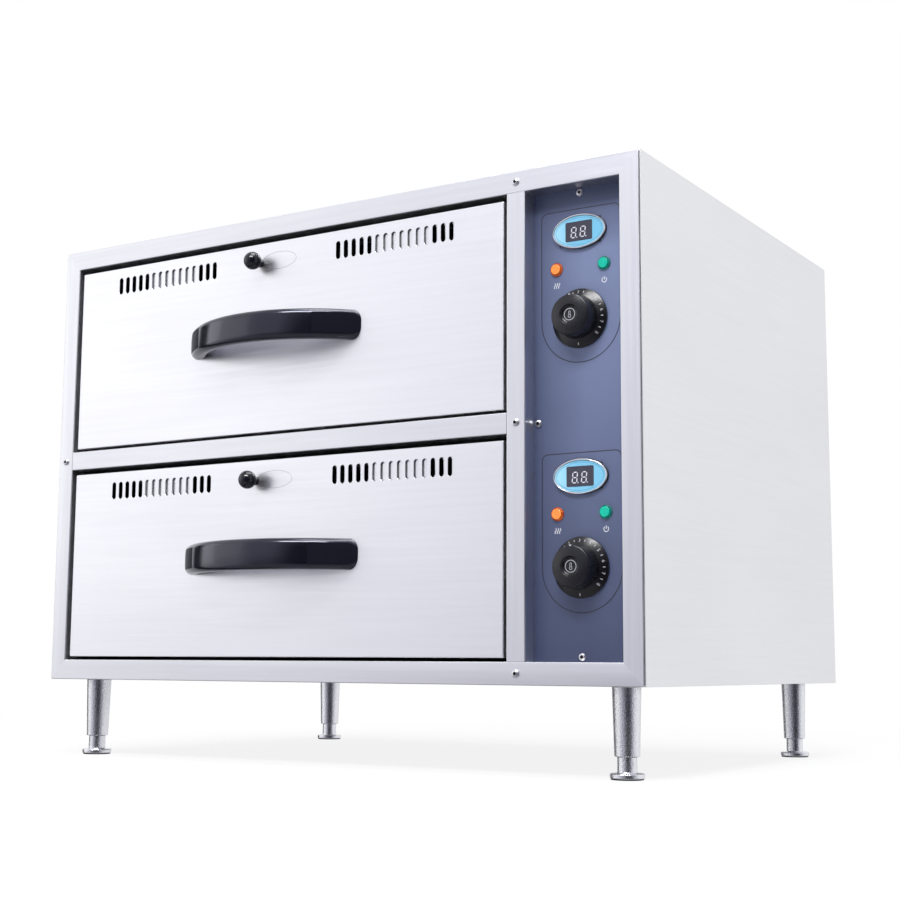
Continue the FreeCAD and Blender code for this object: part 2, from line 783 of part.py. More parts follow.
def make_drawer(side, floor):
    z_low = floor + front_bottom_gap
    z_high = floor + opening_height - front_top_gap
    vent_z = z_high - vent_drop
    handle_z = (z_low + z_high) / 2
    group_centres = [drawer_centre - vent_group_offset, drawer_centre + vent_group_offset]
    group_half = (vent_count - 1) / 2 * vent_pitch
    knob_x = drawer_centre + vent_knob_offset
    knob_z = vent_z - vent_knob_drop

    # the outer front: a folded tray with the vent slots and the shutter's guides
    tray = box(front_left, front_right, front_face, front_back - carrier_sheet, z_low, z_high)
    hollow = box(front_left + casing_sheet, front_right - casing_sheet, skin_back,
                 front_back - carrier_sheet, z_low + casing_sheet, z_high - casing_sheet)
    shutter_half_height = vent_height / 2 + shutter_margin
    guide_left = group_centres[0] - group_half - vent_pitch * 2
    guide_right = group_centres[1] + group_half + vent_pitch * 2
    shutter_left = guide_left + guide_wall
    shutter_right = guide_right - vent_travel - guide_wall
    guides = []
    for s in (-1, 1):
        edge = vent_z + s * shutter_half_height
        outside = edge + s * (shutter_clearance + guide_wall)
        inside = edge - s * guide_lip
        block = box(guide_left, guide_right, skin_back, shutter_back + shutter_clearance + guide_wall,
                    min(inside, outside), max(inside, outside))
        groove_edge = edge + s * shutter_clearance
        groove = box(guide_left, guide_right, shutter_front - shutter_clearance,
                     shutter_back + shutter_clearance, min(inside, groove_edge), max(inside, groove_edge))
        guides.append(block.cut(groove))
    slot_xs = [centre + (i - (vent_count - 1) / 2) * vent_pitch
               for centre in group_centres for i in range(vent_count)]
    slots = [rounded_slot(x, vent_z, vent_width, vent_height, front_face, skin_back) for x in slot_xs]
    stud_reach = vent_stud_radius + panel_clearance
    knob_slot = joined([
        box(knob_x, knob_x + vent_travel, front_face, skin_back, knob_z - stud_reach, knob_z + stud_reach),
        along_y(stud_reach, knob_x, knob_z, front_face, skin_back),
        along_y(stud_reach, knob_x + vent_travel, knob_z, front_face, skin_back)])
    handle_screw_xs = [drawer_centre + s * handle_screw_spacing / 2 for s in (-1, 1)]
    handle_holes = [along_y(handle_screw_radius + screw_hole_clearance, x, handle_z, front_face, skin_back)
                    for x in handle_screw_xs]
    front_shell = joined([tray.cut(hollow)] + guides).cut(slots + [knob_slot] + handle_holes)
    export(side + "_drawer_front", front_shell)

    # the inner sheet that closes the tray, with two openings for the vented air
    inner_sheet = box(front_left, front_right, front_back - carrier_sheet, front_back, z_low, z_high)
    air_windows = [box(c - group_half - vent_width, c + group_half + vent_width,
                       front_back - carrier_sheet, front_back,
                       vent_z - vent_height / 2, vent_z + vent_height / 2) for c in group_centres]
    export(side + "_drawer_inner_sheet", inner_sheet.cut(air_windows))

    # the vent shutter and its ball knob
    shutter = box(shutter_left, shutter_right, shutter_front, shutter_back,
                  vent_z - shutter_half_height, vent_z + shutter_half_height)
    open_xs = [x for n, x in enumerate(slot_xs)
               if not shutter_first_blank <= n % vent_count <= shutter_last_blank]
    shutter_cuts = [rounded_slot(x, vent_z, shutter_slot_width, vent_height, shutter_front, shutter_back)
                    for x in open_xs]
    shutter_cuts.append(along_y(vent_stud_radius + thread_clearance, knob_x, knob_z,
                                shutter_front, shutter_back))
    export(side + "_vent_shutter", shutter.cut(shutter_cuts))

    ball_y = front_face - vent_ball_reach
    base_back = front_face - panel_clearance
    base_front = base_back - vent_base_thickness
    outward = V(0, -1, 0)
    stud = along_y(vent_stud_radius, knob_x, knob_z, base_front, shutter_back + vent_stud_tail)
    collar = along_y(vent_collar_radius, knob_x, knob_z, skin_back + panel_clearance, shutter_front)
    knob_base = along_y(vent_base_radius, knob_x, knob_z, base_front, base_back)
    neck = Part.makeCone(vent_neck_foot_radius, vent_neck_radius, base_front - ball_y,
                         V(knob_x, base_front, knob_z), outward)
    ball = Part.makeSphere(vent_ball_radius, V(knob_x, ball_y, knob_z))
    export(side + "_vent_knob", joined([stud, collar, knob_base, neck, ball]))

    # the bow handle, standing on the front by its two feet
    def outline(half, reach):
        return Part.Arc(V(drawer_centre - half, front_face, 0), V(drawer_centre, front_face - reach, 0),
                        V(drawer_centre + half, front_face, 0)).toShape()

    def foot_edge(s):
        return Part.LineSegment(V(drawer_centre + s * handle_half_length, front_face, 0),
                                V(drawer_centre + s * handle_inner_half, front_face, 0)).toShape()

    bow_edges = [outline(handle_half_length, handle_projection), foot_edge(1),
                 outline(handle_inner_half, handle_projection - handle_crown_thickness), foot_edge(-1)]
    bow_face = Part.Face(Part.Wire(Part.__sortEdges__(bow_edges)))
    bow_face.translate(V(0, 0, handle_z - handle_height / 2))
    bow = bow_face.extrude(V(0, 0, handle_height))
    crown = front_face - handle_projection + handle_edge_radius
    outer_edges = [e for e in bow.Edges if e.BoundBox.YMin < crown and e.BoundBox.ZLength < tiny]
    bow = bow.makeFillet(handle_edge_radius, outer_edges)
    plate = box(drawer_centre - handle_half_length, drawer_centre + handle_half_length,
                front_face - handle_projection - tiny, front_face,
                handle_z - handle_height / 2, handle_z + handle_height / 2)
    bow = bow.common(mouth_fillet(plate, handle_end_radius, is_along_y))
    screw_holes = [along_y(handle_screw_radius + thread_clearance, x, handle_z,
                           front_face - handle_screw_depth - panel_clearance, front_face)
                   for x in handle_screw_xs]
    export(side + "_handle", bow.cut(screw_holes))
    handle_screws = [screw(x, skin_back, handle_z, V(0, -1, 0), handle_screw_radius,
                           handle_screw_depth + casing_sheet) for x in handle_screw_xs]
    export(side + "_handle_screws", group(handle_screws))

    # the pan carrier: side plates, front and rear bars, and the ledge that the rim rests on
    rim_under = vent_z - vent_height / 2 - pan_drop_below_vents
    rim_top = rim_under + pan_sheet
    side_low = rim_under - carrier_side_height
    bar_low = rim_under - carrier_bar_height
    well_half_length = pan_length / 2 - ledge_width
    well_front = pan_front + ledge_width
    well_back = pan_back - ledge_width
    shell = [
        box(carrier_left, carrier_left + carrier_sheet, front_back, carrier_back, side_low, rim_under),
        box(carrier_right - carrier_sheet, carrier_right, front_back, carrier_back, side_low, rim_under),
        box(carrier_left, carrier_right, front_back, front_back + carrier_sheet, bar_low, rim_under),
        box(carrier_left, carrier_right, carrier_back - carrier_sheet, carrier_back, bar_low, rim_under),
        box(carrier_left, carrier_right, front_back, carrier_back, rim_under - carrier_sheet, rim_under),
    ]
    well = box(drawer_centre - well_half_length, drawer_centre + well_half_length,
               well_front, well_back, rim_under - carrier_sheet, rim_under)
    export(side + "_pan_carrier", joined(shell).cut(well))

    # the gastronorm pan
    pan_middle = (pan_front + pan_back) / 2
    pan_low = floor + pan_floor_gap
    body_half_length = pan_length / 2 - pan_rim
    body_half_width = pan_width / 2 - pan_rim
    outer_tub = tub(body_half_length, body_half_width, pan_middle, pan_low, rim_top,
                    pan_corner_radius, pan_floor_radius)
    rim_plate = mouth_fillet(
        box(drawer_centre - pan_length / 2, drawer_centre + pan_length / 2, pan_front, pan_back,
            rim_under, rim_top), pan_corner_radius, is_upright)
    inner_tub = tub(body_half_length - pan_sheet, body_half_width - pan_sheet, pan_middle,
                    pan_low + pan_sheet, rim_top + pan_sheet,
                    pan_corner_radius - pan_sheet, pan_floor_radius - pan_sheet)
    export(side + "_pan", outer_tub.fuse(rim_plate).cut(inner_tub).removeSplitter())

    export(side + "_middle_slide_members", group(slide_pair("middle", floor)))
    export(side + "_inner_slide_members", group(slide_pair("inner", floor)))


for side, floor in floors.items():
    make_drawer(side, floor)

# ---------------------------------------------------------------- mains connection
terminal_x = louvre_x
terminal_block = joined([
    box(terminal_x - terminal_length / 2, terminal_x + terminal_length / 2,
        back - leg_inset_end * 2 - terminal_width, back - leg_inset_end * 2,
        bottom_top, bottom_top + terminal_base),
    box(terminal_x - terminal_length / 2 + terminal_base, terminal_x + terminal_length / 2 - terminal_base,
        back - leg_inset_end * 2 - terminal_width, back - leg_inset_end * 2,
        bottom_top + terminal_base, bottom_top + terminal_height)])
export("terminal_block", terminal_block)

gland_body = along_y(gland_thread_radius, gland_x, gland_z, back_face_inner - gland_inside_length, back)
gland_lock_nut = along_y(gland_nut_radius, gland_x, gland_z,
                         back_face_inner - gland_flange_thickness, back_face_inner)
gland_flange = along_y(gland_nut_radius, gland_x, gland_z, back, back + gland_flange_thickness)
gland_dome = Part.makeCone(gland_dome_radius, gland_thread_radius, gland_reach - gland_flange_thickness,
                           V(gland_x, back + gland_flange_thickness, gland_z), V(0, 1, 0))
gland_bore = along_y(gland_bore_radius, gland_x, gland_z, back_face_inner - gland_inside_length,
                     back + gland_reach)
export("cable_gland", joined([gland_body, gland_lock_nut, gland_flange, gland_dome]).cut(gland_bore))

# ---------------------------------------------------------------- legs
sleeve_low = base - sleeve_length
foot_names = ["front_left_foot", "front_right_foot", "rear_left_foot", "rear_right_foot"]
insert_top = sleeve_low + foot_insert_hidden
insert_bore = foot_insert_radius + foot_fit
stud_bore = foot_stud_radius + foot_fit


def leg_sleeve(x, y):
    """A tapered sleeve with a stud into the cabinet's floor and a bore for the foot's insert."""
    taper = Part.makeCone(sleeve_bottom_radius, sleeve_top_radius, sleeve_length, V(x, y, sleeve_low))
    stud = along_z(leg_stud_radius, x, y, base, base + leg_stud_length)
    bore = along_z(insert_bore, x, y, sleeve_low, insert_top + foot_fit)
    thread = along_z(stud_bore, x, y, insert_top, insert_top + foot_stud_length + foot_fit)
    return joined([taper, stud]).cut([bore, thread])


def leg_nut(x, y):
    nut = along_z(leg_nut_radius, x, y, bottom_top, bottom_top + leg_nut_height)
    return nut.cut(along_z(leg_stud_radius + thread_clearance, x, y, bottom_top, bottom_top + leg_nut_height))


def foot(x, y):
    """An insert that screws up into the sleeve, on a round flanged disc."""
    disc = along_z(foot_disc_radius, x, y, 0, foot_disc_thickness)
    rims = [e for e in disc.Edges if e.BoundBox.ZLength < tiny]
    disc = disc.makeFillet(foot_disc_edge, rims)
    insert = along_z(foot_insert_radius, x, y, foot_disc_thickness, insert_top)
    stud = along_z(foot_stud_radius, x, y, insert_top, insert_top + foot_stud_length)
    return joined([disc, insert, stud])


export("leg_sleeves", group([leg_sleeve(x, y) for x, y in leg_places]))
export("leg_nuts", group([leg_nut(x, y) for x, y in leg_places]))
for name, (foot_x, foot_y) in zip(foot_names, leg_places):
    export(name, foot(foot_x, foot_y))
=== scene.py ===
import math
import bmesh
import bpy
from mathutils import Matrix, Vector


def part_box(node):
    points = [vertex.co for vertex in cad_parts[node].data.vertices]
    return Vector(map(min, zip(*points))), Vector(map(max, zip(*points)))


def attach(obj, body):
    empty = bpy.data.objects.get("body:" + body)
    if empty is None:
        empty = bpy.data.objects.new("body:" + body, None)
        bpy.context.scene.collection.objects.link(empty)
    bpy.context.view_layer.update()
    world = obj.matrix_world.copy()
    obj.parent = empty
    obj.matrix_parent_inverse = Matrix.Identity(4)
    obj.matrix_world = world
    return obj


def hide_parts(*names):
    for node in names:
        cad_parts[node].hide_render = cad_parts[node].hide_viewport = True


# A catering warmer with two pan drawers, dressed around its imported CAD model.
# Metres, +Z up, the front faces -Y. Sections follow the order in which it is put together.
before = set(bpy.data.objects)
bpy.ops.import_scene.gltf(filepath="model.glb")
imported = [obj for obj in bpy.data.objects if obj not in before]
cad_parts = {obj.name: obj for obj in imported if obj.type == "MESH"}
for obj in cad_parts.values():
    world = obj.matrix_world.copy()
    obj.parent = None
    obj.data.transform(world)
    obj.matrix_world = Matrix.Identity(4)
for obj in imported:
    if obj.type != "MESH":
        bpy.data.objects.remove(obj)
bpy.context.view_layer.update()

# ------------------------------------------------------------------ camera
# A long lens held low at the cabinet's right-hand side and tipped up a little.
# Its three directions are those of the camera itself: to its right, up, and out behind it.
CAMERA_PLACE = Vector((0.9685, -1.5251, 0.1053))
CAMERA_RIGHT = Vector((0.84724, 0.53116, 0.00603))
CAMERA_UP = Vector((0.06748, -0.11887, 0.99061))
CAMERA_BACK = Vector((0.52689, -0.83889, -0.13655))
CAMERA_LENS_MM = 61.88
CAMERA_SENSOR_MM = 36.0

lens = bpy.data.cameras.new("camera")
lens.lens = CAMERA_LENS_MM
lens.sensor_width = CAMERA_SENSOR_MM
camera = bpy.data.objects.new("camera", lens)
bpy.context.collection.objects.link(camera)
turn = Matrix((CAMERA_RIGHT, CAMERA_UP, CAMERA_BACK)).transposed().to_4x4()
camera.matrix_world = Matrix.Translation(CAMERA_PLACE) @ turn
bpy.context.scene.camera = camera
bpy.context.scene.view_settings.view_transform = "Standard"


# ------------------------------------------------------------------ studio
# A pale room for the metal to mirror: white, lilac to the right, dimmer low down and below,
# with two dark patches. Five soft lamps light it: a strong one high in front, a faint key and
# a cool one at the left, and two overhead. The paper floor keeps a soft shadow.
class Signal:
    """A node socket that Python's operators work on; each operation adds one Math node."""

    def __init__(self, nodes, socket):
        self.nodes = nodes
        self.socket = socket

    def combine(self, operation, first, second):
        return self.nodes.add("Math", {"operation": operation}, {0: first, 1: second})

    def __add__(self, other):
        return self.combine("ADD", self, other)

    def __radd__(self, other):
        return self.combine("ADD", other, self)

    def __sub__(self, other):
        return self.combine("SUBTRACT", self, other)

    def __rsub__(self, other):
        return self.combine("SUBTRACT", other, self)

    def __mul__(self, other):
        return self.combine("MULTIPLY", self, other)

    def __rmul__(self, other):
        return self.combine("MULTIPLY", other, self)

    def larger(self, other):
        return self.combine("MAXIMUM", self, other)


class Nodes:
    """A node tree that is written as Python expressions."""

    def __init__(self, tree):
        self.tree = tree

    def add(self, kind, settings=None, inputs=None, output=0):
        made = self.tree.nodes.new("ShaderNode" + kind)
        for key, value in (settings or {}).items():
            if key == "stops":
                self.set_stops(made.color_ramp.elements, value)
            else:
                setattr(made, key, value)
        for key, value in (inputs or {}).items():
            self.feed(made.inputs[key], value)
        return Signal(self, made.outputs[output]) if made.outputs else None

    def feed(self, socket, value):
        if isinstance(value, Signal):
            self.tree.links.new(value.socket, socket)
        else:
            socket.default_value = value

    def set_stops(self, elements, stops):
        while len(elements) < len(stops):
            elements.new(0.5)
        for element, (position, colour) in zip(elements, stops):
            element.position = position
            element.color = (*colour, 1.0)

    def coordinate(self, kind, letter):
        """One axis of a point's place on a piece, or of a ray's direction in the world."""
        place = self.add("TexCoord", None, None, kind)
        return self.add("SeparateXYZ", None, {"Vector": place}, letter)

    def light_path(self, *rays):
        """Signals that are 1 for the kinds of ray named."""
        path = self.tree.nodes.new("ShaderNodeLightPath")
        return [Signal(self, path.outputs[f"Is {ray} Ray"]) for ray in rays]

    def between(self, signal, low, high, to_low=0.0, to_high=1.0):
        """The signal's span from low to high, stretched to a new span and clamped there."""
        return self.add("MapRange", None, {"Value": signal, "From Min": low, "From Max": high,
                                           "To Min": to_low, "To Max": to_high})

    def blend(self, share, first, second):
        """A colour between two colours."""
        first = first if isinstance(first, Signal) else (*first, 1.0)
        second = second if isinstance(second, Signal) else (*second, 1.0)
        return self.add("Mix", {"data_type": "RGBA"}, {0: share, 6: first, 7: second}, output=2)


ROOM_WHITE = (1.0, 1.0, 1.0)
MIRROR_WHITE = (1.00, 1.00, 1.02)
ROOM_LILAC = (0.69, 0.71, 0.82)
ROOM_LOW_LEFT = (0.88, 0.87, 0.94)
ROOM_LOW_RIGHT = (0.34, 0.33, 0.41)
ROOM_BEHIND = (0.95, 0.955, 0.975)
ROOM_FAR_BEHIND = (0.84, 0.845, 0.875)
ROOM_UNDER = (0.42, 0.42, 0.45)
ROOM_DARK = (0.03, 0.03, 0.04)
ROOM_FILL = 0.42

# Where one tint of the mirrored room gives way to the next: each is a span of a unit
# direction's X (to the right), Y (to the rear) or Z (up).
RIGHT_SPAN = (-0.62, -0.38)
REAR_SPAN = (-0.25, 0.25)
FAR_REAR_SPAN = (0.90, 0.96)
UNDER_SPAN = (-0.25, -0.50)
LOW_SPAN = (0.06, -0.05)
AHEAD_SPAN = (-0.45, -0.65)
# The dark patches: a round one about a direction at the right front, its edge given by the
# cosine of the angle from there, and a doorway at the left.
DARK_DIRECTION = (0.615, -0.787, -0.05)
DARK_SPAN = (0.695, 0.891)
DOOR_NEAR_JAMB = (-0.14, -0.10)
DOOR_FAR_JAMB = (0.57, 0.51)
DOOR_LEFT = (-0.35, -0.45)
DOOR_TOP = (0.38, 0.30)

world = bpy.data.worlds.new("room")
world.use_nodes = True
world.node_tree.nodes.clear()
room = Nodes(world.node_tree)
camera_ray, glossy_ray, clear_ray = room.light_path("Camera", "Glossy", "Transmission")
sideways, rearward, upward = (room.coordinate("Generated", letter) for letter in "XYZ")
to_right = room.between(sideways, *RIGHT_SPAN)
near_horizon = room.between(upward, *LOW_SPAN) * room.between(rearward, *AHEAD_SPAN)
low_tint = room.blend(to_right, ROOM_LOW_LEFT, ROOM_LOW_RIGHT)
high_tint = room.blend(to_right, MIRROR_WHITE, ROOM_LILAC)
before = room.blend(near_horizon, high_tint, low_tint)
behind = room.blend(room.between(rearward, *FAR_REAR_SPAN), ROOM_BEHIND, ROOM_FAR_BEHIND)
around = room.blend(room.between(rearward, *REAR_SPAN), before, behind)
around = room.blend(room.between(upward, *UNDER_SPAN), around, ROOM_UNDER)
direction = room.add("TexCoord", None, None, "Generated")
to_dark = room.add("VectorMath", {"operation": "DOT_PRODUCT"}, {0: direction, 1: DARK_DIRECTION}, "Value")
doorway = room.between(rearward, *DOOR_NEAR_JAMB) * room.between(rearward, *DOOR_FAR_JAMB)
doorway = doorway * room.between(sideways, *DOOR_LEFT) * room.between(upward, *DOOR_TOP)
mirror_tint = room.blend(room.between(to_dark, *DARK_SPAN).larger(doorway), around, ROOM_DARK)
room_glow = room.add("Background", None, {"Color": (*ROOM_WHITE, 1.0), "Strength": ROOM_FILL})
room_mirror = room.add("Background", None, {"Color": mirror_tint, "Strength": 1.0})
room_backdrop = room.add("Background", None, {"Color": (*ROOM_WHITE, 1.0), "Strength": 1.0})
lit_room = room.add("MixShader", None, {0: glossy_ray, 1: room_glow, 2: room_mirror})
whole_room = room.add("MixShader", None, {0: camera_ray.larger(clear_ray), 1: lit_room, 2: room_backdrop})
room.add("OutputWorld", None, {"Surface": whole_room})
bpy.context.scene.world = world


def soft_lamp(name, place, aim, size, power, colour=ROOM_WHITE, mirrored_too=True):
    """A rectangular lamp of so many watts that looks from its place to a point."""
    lamp = bpy.data.lights.new(name, "AREA")
    lamp.shape = "RECTANGLE"
    lamp.size, lamp.size_y = size
    lamp.energy = power
    lamp.color = colour
    holder = bpy.data.objects.new(name, lamp)
    bpy.context.collection.objects.link(holder)
    facing = (Vector(aim) - Vector(place)).to_track_quat("-Z", "Y")
    holder.matrix_world = Matrix.Translation(place) @ facing.to_matrix().to_4x4()
    holder.visible_glossy = mirrored_too


COOL_WHITE = (0.93, 0.95, 1.0)
soft_lamp("key_lamp", (-2.3, -2.3, 1.0), (0.0, 0.0, 0.3), (1.6, 1.4), 2.0)
soft_lamp("upper_lamp", (0.5, -2.1, 2.5), (0.1, -0.25, 0.4), (1.8, 0.7), 80.0)
soft_lamp("left_lamp", (-3.1, -1.2, 1.0), (0.0, -0.2, 0.4), (1.0, 1.6), 4.0, COOL_WHITE)
soft_lamp("edge_lamp", (0.25, -0.45, 3.0), (0.0, -0.25, 0.4), (1.3, 1.7), 45.0)
soft_lamp("top_lamp", (0.0, 0.3, 3.2), (0.0, 0.1, 0.4), (2.4, 2.4), 26.0, mirrored_too=False)


def link_piece(name, bm, material):
    """Makes a modelled shape an object of one material."""
    mesh = bpy.data.meshes.new(name)
    bm.to_mesh(mesh)
    bm.free()
    mesh.materials.append(material)
    piece = bpy.data.objects.new(name, mesh)
    bpy.context.collection.objects.link(piece)
    return piece


FLOOR_PALE = (0.85, 0.85, 0.86)
FLOOR_HALF = 1.5
FLOOR_SIDES = 96
# The floor's own white shows most far out, so that its edge melts into the backdrop.
FLOOR_FADE = (0.55, 1.35)
FLOOR_GLOW = (0.86, 1.0)

floor_material = bpy.data.materials.new("floor_paper")
floor_material.use_nodes = True
floor_material.node_tree.nodes.clear()
paper = Nodes(floor_material.node_tree)
camera_ray, glossy_ray = paper.light_path("Camera", "Glossy")
floor_place = paper.add("TexCoord", None, None, "Object")
distance = paper.add("VectorMath", {"operation": "LENGTH"}, {0: floor_place}, "Value")
glow_share = camera_ray * paper.between(distance, *FLOOR_FADE, *FLOOR_GLOW)
dull = paper.add("BsdfDiffuse", None, {"Color": (*FLOOR_PALE, 1.0)})
glow = paper.add("Emission", None, {"Color": (*ROOM_WHITE, 1.0), "Strength": 1.0})
shown = paper.add("MixShader", None, {0: glow_share, 1: dull, 2: glow})
whole_floor = paper.add("MixShader", None, {0: glossy_ray, 1: shown, 2: paper.add("BsdfTransparent")})
paper.add("OutputMaterial", None, {"Surface": whole_floor})

floor_bm = bmesh.new()
bmesh.ops.create_circle(floor_bm, cap_ends=True, segments=FLOOR_SIDES, radius=FLOOR_HALF)
link_piece("floor", floor_bm, floor_material)


# ------------------------------------------------------------------ front frame
# Six channels folded from 1.2 mm stainless sheet and welded at mitred corners: two rails,
# two stiles, the centre mullion and the middle rail. Each is ground along its length.

# Smooth noise seldom leaves the first of these spans, and is mostly within the second.
NOISE_SPAN = (0.3, 0.7)
NOISE_CORE = (0.35, 0.65)


class Finish(Nodes):
    """One material. Constants go straight on the shader's sockets; signals are linked to them."""

    def __init__(self, name, colour, roughness, metallic=0.0, **constants):
        self.material = bpy.data.materials.new(name)
        self.material.use_nodes = True
        super().__init__(self.material.node_tree)
        self.shader = self.tree.nodes["Principled BSDF"]
        self.colour = colour
        self.set("Base Color", (*colour, 1.0))
        self.set("Roughness", roughness)
        self.set("Metallic", metallic)
        for key, value in constants.items():
            self.set(key.replace("_", " ").title().replace("Ior", "IOR"), value)

    def set(self, socket, value):
        self.feed(self.shader.inputs[socket], value)

    def noise(self, repeats, detail=2.0, roughness=0.55, offset=(0.0, 0.0, 0.0)):
        """Smooth noise that repeats so many times in a metre, alike or along X, Y and Z."""
        stretch = repeats if isinstance(repeats, tuple) else (repeats, repeats, repeats)
        place = self.add("TexCoord", None, None, "Object")
        place = self.add("Mapping", None, {"Vector": place, "Scale": stretch, "Location": offset})
        return self.add("TexNoise", None, {"Vector": place, "Scale": 1.0, "Detail": detail,
                                           "Roughness": roughness})

    def spread(self, noise, low=0.0, high=1.0, span=NOISE_SPAN):
        """Noise stretched until it runs from low to high."""
        return self.between(noise, *span, low, high)

    def past(self, place, origin, span, low=0.0, high=1.0):
        """A rise from low to high along one axis, over a span that is counted from an origin."""
        return self.between(place, origin + span[0], origin + span[1], low, high)

    def tint(self, share, other):
        """Varies the base colour between its own value and a darker or lighter one."""
        self.set("Base Color", self.blend(share, self.colour, other))

    def relief(self, height, depth):
        """Bumps the surface by up to depth metres."""
        self.set("Normal", self.add("Bump", None, {"Height": height, "Distance": depth, "Strength": 1.0}))


# How often each pattern of the ground sheet repeats in a metre: across the grain and along it.
SCRATCHES = (1500.0, 14.0)
STREAKS = (240.0, 6.0)
CLOUDS = (9.0, 3.0)
SCRATCH_DEPTH = 0.000018
# How far the scratches and the clouds move the roughness down and up.
SCRATCH_ROUGHNESS = (-0.05, 0.07)
CLOUD_ROUGHNESS = (-0.02, 0.02)


def grain(axis, repeats):
    """Repeats along X, Y and Z of a pattern drawn out along one of them."""
    across, along = repeats
    return tuple(along if axis == letter else across for letter in "XYZ")


def satin_steel(name, colour, axis, roughness, cloud=0.03):
    """Ground stainless sheet: fine scratches along one axis and faint broad clouds."""
    finish = Finish(name, colour, roughness, metallic=1.0)
    scratches = finish.noise(grain(axis, SCRATCHES), detail=4.0)
    streaks = finish.noise(grain(axis, STREAKS), detail=4.0, offset=(3.1, 1.7, 0.4))
    clouds = finish.noise(grain(axis, CLOUDS), offset=(0.7, 5.2, 2.9))
    smoothest, roughest = (roughness + change for change in SCRATCH_ROUGHNESS)
    finish.set("Roughness", finish.spread(scratches, smoothest, roughest)
               + finish.spread(clouds, *CLOUD_ROUGHNESS, NOISE_CORE))
    finish.tint(finish.spread(streaks * 0.6 + clouds * 0.4), tuple(c * (1.0 - 3.0 * cloud) for c in colour))
    finish.relief(scratches, SCRATCH_DEPTH)
    return finish


FRAME_COLOUR = (0.80, 0.80, 0.83)
OUTER_FOLD = 0.0024
INNER_FOLD = 0.0010
SEAM_RADIUS = 0.0003
SHEET = 0.0012
CORNER_BLUNT = 0.0017
SHARP_ANGLE = math.radians(32.0)
# An edge runs along an axis when this share of its length does.
MOSTLY = 0.9
# An edge this near the frame's outline belongs to it.
ON_RIM = 0.001

frame_rail_steel = satin_steel("satin_steel_rails", FRAME_COLOUR, "X", 0.34)
frame_stile_steel = satin_steel("satin_steel_stiles", FRAME_COLOUR, "Z", 0.34)


def finished(name, bm, finish, body, nodes=(), sheet=0.0, weighted=True, cut_edge_shade=None):
    """Makes the modelled piece an object that rides on a body and stands for CAD nodes.

    It is shaded smooth between its hard creases, with flat faces left flat beside small
    rounds. A sheet thickness is added behind an open skin; its cut edges may take a dark
    finish of their own, as painted shade."""
    bmesh.ops.recalc_face_normals(bm, faces=bm.faces[:])
    piece = link_piece(name, bm, finish.material)
    piece.data.polygons.foreach_set("use_smooth", [True] * len(piece.data.polygons))
    piece.data.set_sharp_from_angle(angle=SHARP_ANGLE)
    if sheet:
        thicken = piece.modifiers.new("sheet", "SOLIDIFY")
        thicken.thickness = sheet
        thicken.offset = -1.0
        thicken.use_even_offset = True
        if cut_edge_shade:
            piece.data.materials.append(cut_edge_shade.material)
            thicken.material_offset_rim = 1
    if weighted:
        piece.modifiers.new("flat_faces", "WEIGHTED_NORMAL").keep_sharp = True
    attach(piece, body)
    if nodes:
        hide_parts(*nodes)
    return piece


def block(bm, low, high):
    """A plain block between two corners, as part of a larger mesh."""
    low, high = Vector(low), Vector(high)
    size = high - low
    place = Matrix.Translation((low + high) / 2) @ Matrix.Diagonal((*size, 1.0))
    return bmesh.ops.create_cube(bm, size=1.0, matrix=place)["verts"]


def edges_of(verts):
    """The edges that run between the vertices given."""
    found = {edge for vert in verts for edge in vert.link_edges}
    return [edge for edge in found if all(vert in verts for vert in edge.verts)]


def round_edges(bm, edges, radius, segments):
    bmesh.ops.bevel(bm, geom=edges, offset=radius, offset_type="OFFSET", segments=segments,
                    profile=0.5, affect="EDGES", material=-1, clamp_overlap=True)


def soft_block(bm, low, high, radius):
    """The same with its edges broken."""
    verts = block(bm, low, high)
    round_edges(bm, edges_of(verts), radius, 2)


def cut_off(bm, point, outward):
    """Cuts off what lies beyond a plane and closes the cut."""
    everything = bm.verts[:] + bm.edges[:] + bm.faces[:]
    bmesh.ops.bisect_plane(bm, geom=everything, plane_co=point, plane_no=outward, clear_outer=True)
    bmesh.ops.edgeloop_fill(bm, edges=[edge for edge in bm.edges if edge.is_boundary])


def front_face_of(bm):
    return min(bm.faces, key=lambda face: face.calc_center_median().y)


def rear_face_of(bm):
    return max(bm.faces, key=lambda face: face.calc_center_median().y)


def folded_channel(node, finish, long_axis, mitres):
    """A channel, open to the rear, with rounded folds in front and closely fitted ends."""
    low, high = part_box(node)
    along = "XYZ".index(long_axis)
    bm = bmesh.new()
    block(bm, low, high)
    for point, outward in mitres:
        cut_off(bm, point, outward)
    rear = rear_face_of(bm)
    bmesh.ops.inset_region(bm, faces=[rear], thickness=SHEET, use_even_offset=True)
    bmesh.ops.translate(bm, verts=rear.verts[:], vec=(0.0, SHEET + low.y - high.y, 0.0))
    across = 2 - along
    for radius, outer in ((OUTER_FOLD, True), (INNER_FOLD, False)):
        folds = []
        for edge in front_face_of(bm).edges:
            start, end = edge.verts[0].co, edge.verts[1].co
            on_rim = abs(start[across] - frame_middle[across]) > frame_half[across] - ON_RIM
            if abs(start[along] - end[along]) > MOSTLY * edge.calc_length() and on_rim == outer:
                folds.append(edge)
        if folds:
            round_edges(bm, folds, radius, 4)
    ends = [edge for edge in front_face_of(bm).edges
            if abs((edge.verts[0].co - edge.verts[1].co)[along]) < MOSTLY * edge.calc_length()]
    round_edges(bm, ends, SEAM_RADIUS, 2)
    finished(node + "_folded", bm, finish, "cabinet", [node])


